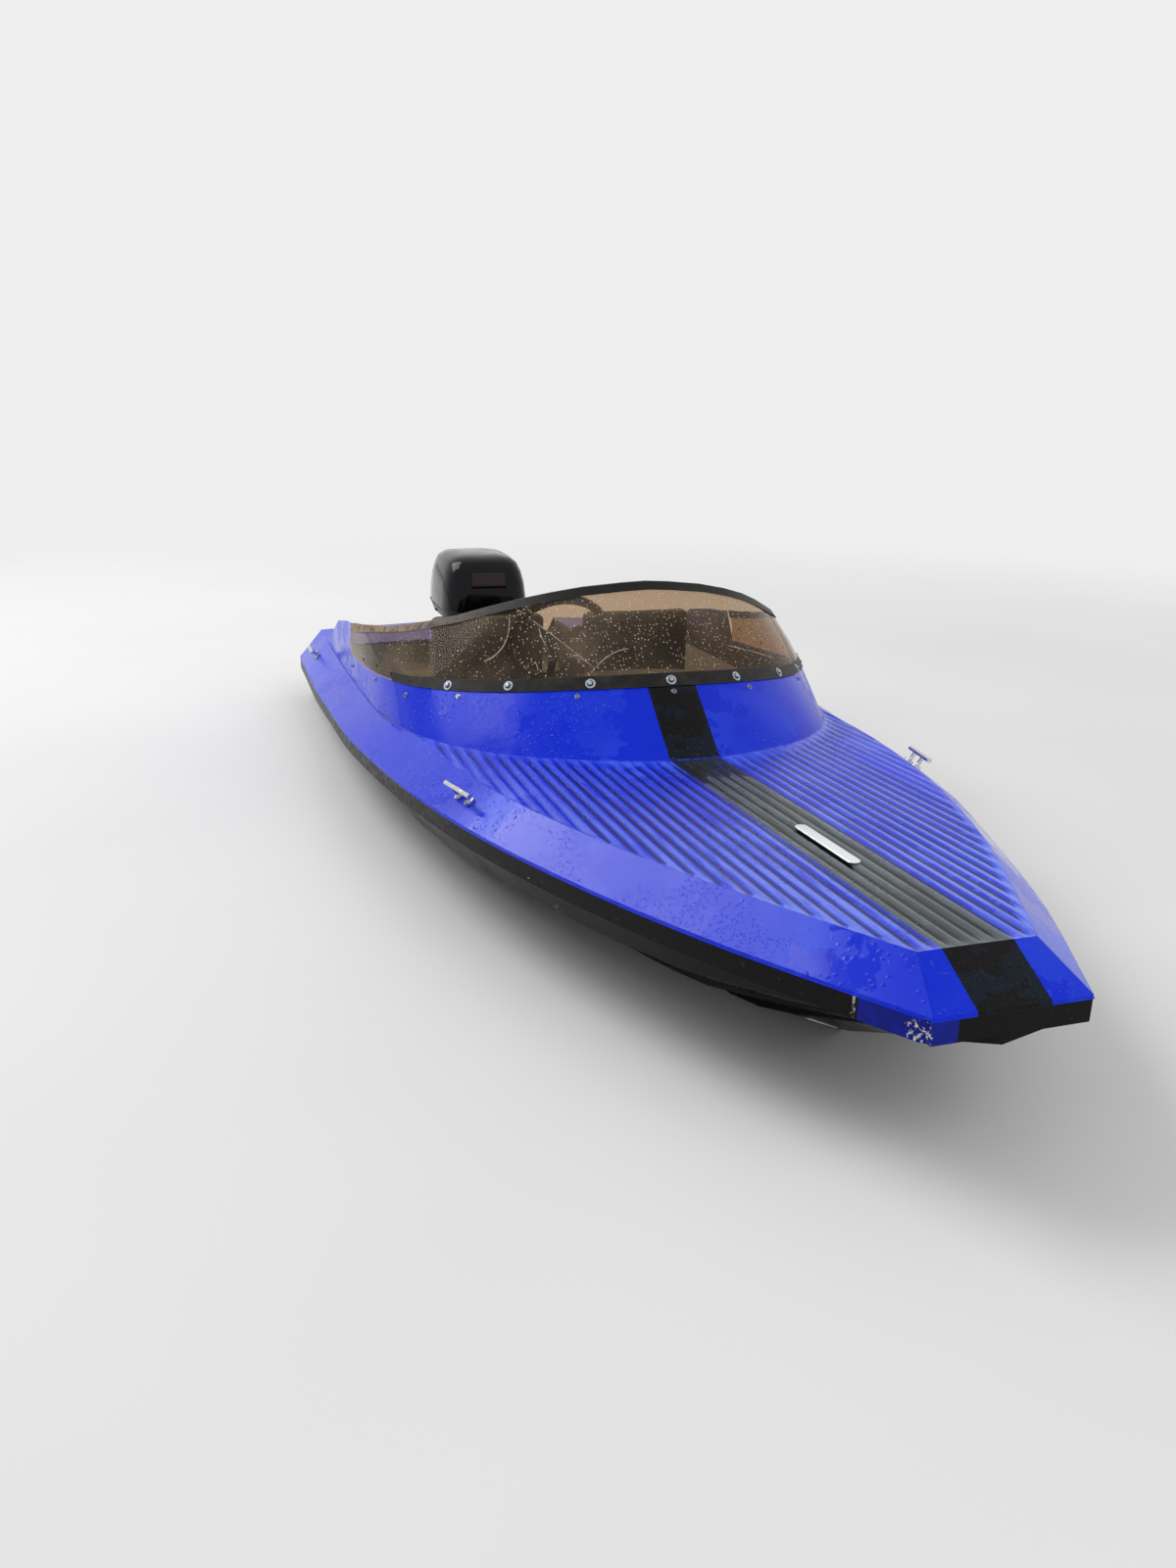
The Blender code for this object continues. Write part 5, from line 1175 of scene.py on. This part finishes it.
PANEL_WIDTH = 172 * MM
PANEL_HEIGHT = 76 * MM
PANEL_LEVEL = 0.486
PANEL_FRONT = 1.90
PANEL_CORNER = 9 * MM
PANEL_CUTS = (12, 6)
FRAME_WIDTH = 8 * MM
SEAL_LEVEL = 0.3345
SEAL_RADIUS = 2.6 * MM
SEAL_STEPS = 96


def panel_plate(width, height, thick, lift):
    """A rounded plate in front of the cowling, facing the bow, cut finely enough to be bent."""
    bm = block((width, height, thick), min(thick * 0.4, 1.2 * MM), 2, PANEL_CORNER)
    for axis, (count, size) in enumerate(zip(PANEL_CUTS, (width, height))):
        for k in range(1, count):
            normal = Vector()
            normal[axis] = 1
            geom = bm.verts[:] + bm.edges[:] + bm.faces[:]
            bmesh.ops.bisect_plane(bm, geom=geom, plane_co=normal * (size * (k / count - 0.5)),
                                   plane_no=normal, dist=WELD)
    turn = Matrix.Rotation(math.radians(90), 4, "X")
    return moved(bm, Matrix.Translation((0, PANEL_FRONT - lift, PANEL_LEVEL)) @ turn)


def add_cowl_panel(gloss, dull):
    """The framed panel on the cowling's front, left bare."""
    outer = panel_plate(PANEL_WIDTH, PANEL_HEIGHT, 3 * MM, 0.5 * MM)
    inner = panel_plate(PANEL_WIDTH - 2 * FRAME_WIDTH, PANEL_HEIGHT - 2 * FRAME_WIDTH,
                        2 * MM, 1.4 * MM)
    for bm, name, finish in ((outer, "cowl_panel_frame", gloss), (inner, "cowl_panel", dull)):
        laid_on(bm, "upper_cowl", (0, PANEL_FRONT, PANEL_LEVEL), (0, 1, 0))
        piece(bm, name, finish, "engine")


def add_cowl_seal():
    """The rubber between the cowling and the pan."""
    low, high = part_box("upper_cowl")
    centre = Vector(((low.x + high.x) / 2, (low.y + high.y) / 2, SEAL_LEVEL))
    line = outline(tree_of("upper_cowl"), centre, (0, 1), SEAL_STEPS)
    seal = rubber("cowl_seal_rubber", (0.012, 0.012, 0.012, 1), 0.3)
    piece(tube(line, SEAL_RADIUS, True), "cowl_seal", seal, "engine")


LATCH_SIZE = (62 * MM, 12 * MM, 34 * MM)
TELLTALE_PROFILE = ((0, 0), (6, 0), (6, 4), (4, 6), (2, 6), (1.8, 2), (0, 2))
ANODE_PROFILE = ((0, 0), (17, 0), (17, 3), (14, 7), (8, 8.5), (7, 6.5), (0, 6))
HEX_PROFILE = ((0, 0), (9.5, 0), (9.5, 6), (8.5, 7), (0, 7))
OUTLET_Y = 2.30
ANODE_Y = 2.16
ANODE_DOWN = 0.040
BRACKET_BOLTS = [(x, z) for x in (-0.115, 0.115) for z in (0.075, 0.135)]


def add_motor_fittings(casting):
    """Latch, cooling outlet, anodes and the clamp's bolts."""
    steel = metal("motor_bolt_steel", (0.50, 0.50, 0.50, 1), 0.28, 0.5)
    low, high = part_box("upper_cowl")
    latch_place = Matrix.Translation((0, high.y - 3 * MM, low.z + 6 * MM))
    piece(moved(block(LATCH_SIZE, 4 * MM), latch_place), "cowl_latch", casting,
          "engine")
    low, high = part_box("lower_pan")
    spot = facing(*onto("lower_pan", (-1, OUTLET_Y, (low.z + high.z) / 2), (1, 0, 0)))
    outlet = moved(lathe(TELLTALE_PROFILE), spot)
    piece(outlet, "cooling_outlet", casting, "engine")
    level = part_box("gearcase")[1].z - ANODE_DOWN
    spots = [onto("gearcase", (side, ANODE_Y, level), (-side, 0, 0)) for side in (-1, 1)]
    zinc = metal("anode_zinc", (0.42, 0.43, 0.44, 1), 0.55, 0.7)
    piece(copies(lathe(ANODE_PROFILE), [facing(*hit) for hit in spots if hit[0]]),
          "gearcase_anodes", zinc, "engine")
    spots = [onto("clamp_bracket", (x, 2.4, z), (0, -1, 0)) for x, z in BRACKET_BOLTS]
    piece(copies(lathe(HEX_PROFILE, 6), [facing(*hit) for hit in spots if hit[0]]),
          "bracket_bolts", steel)


dress_hull()
dress_screen()
dress_cockpit()
dress_motor()
add_fastenings()
add_trim_bar()
add_seats()
add_helm()
add_wheel_cap()
add_cowl_seal()

add_camera()
add_world()
for lamp_row in LAMPS:
    add_lamp(*lamp_row)
add_floor()
bpy.context.scene.view_settings.view_transform = "Standard"
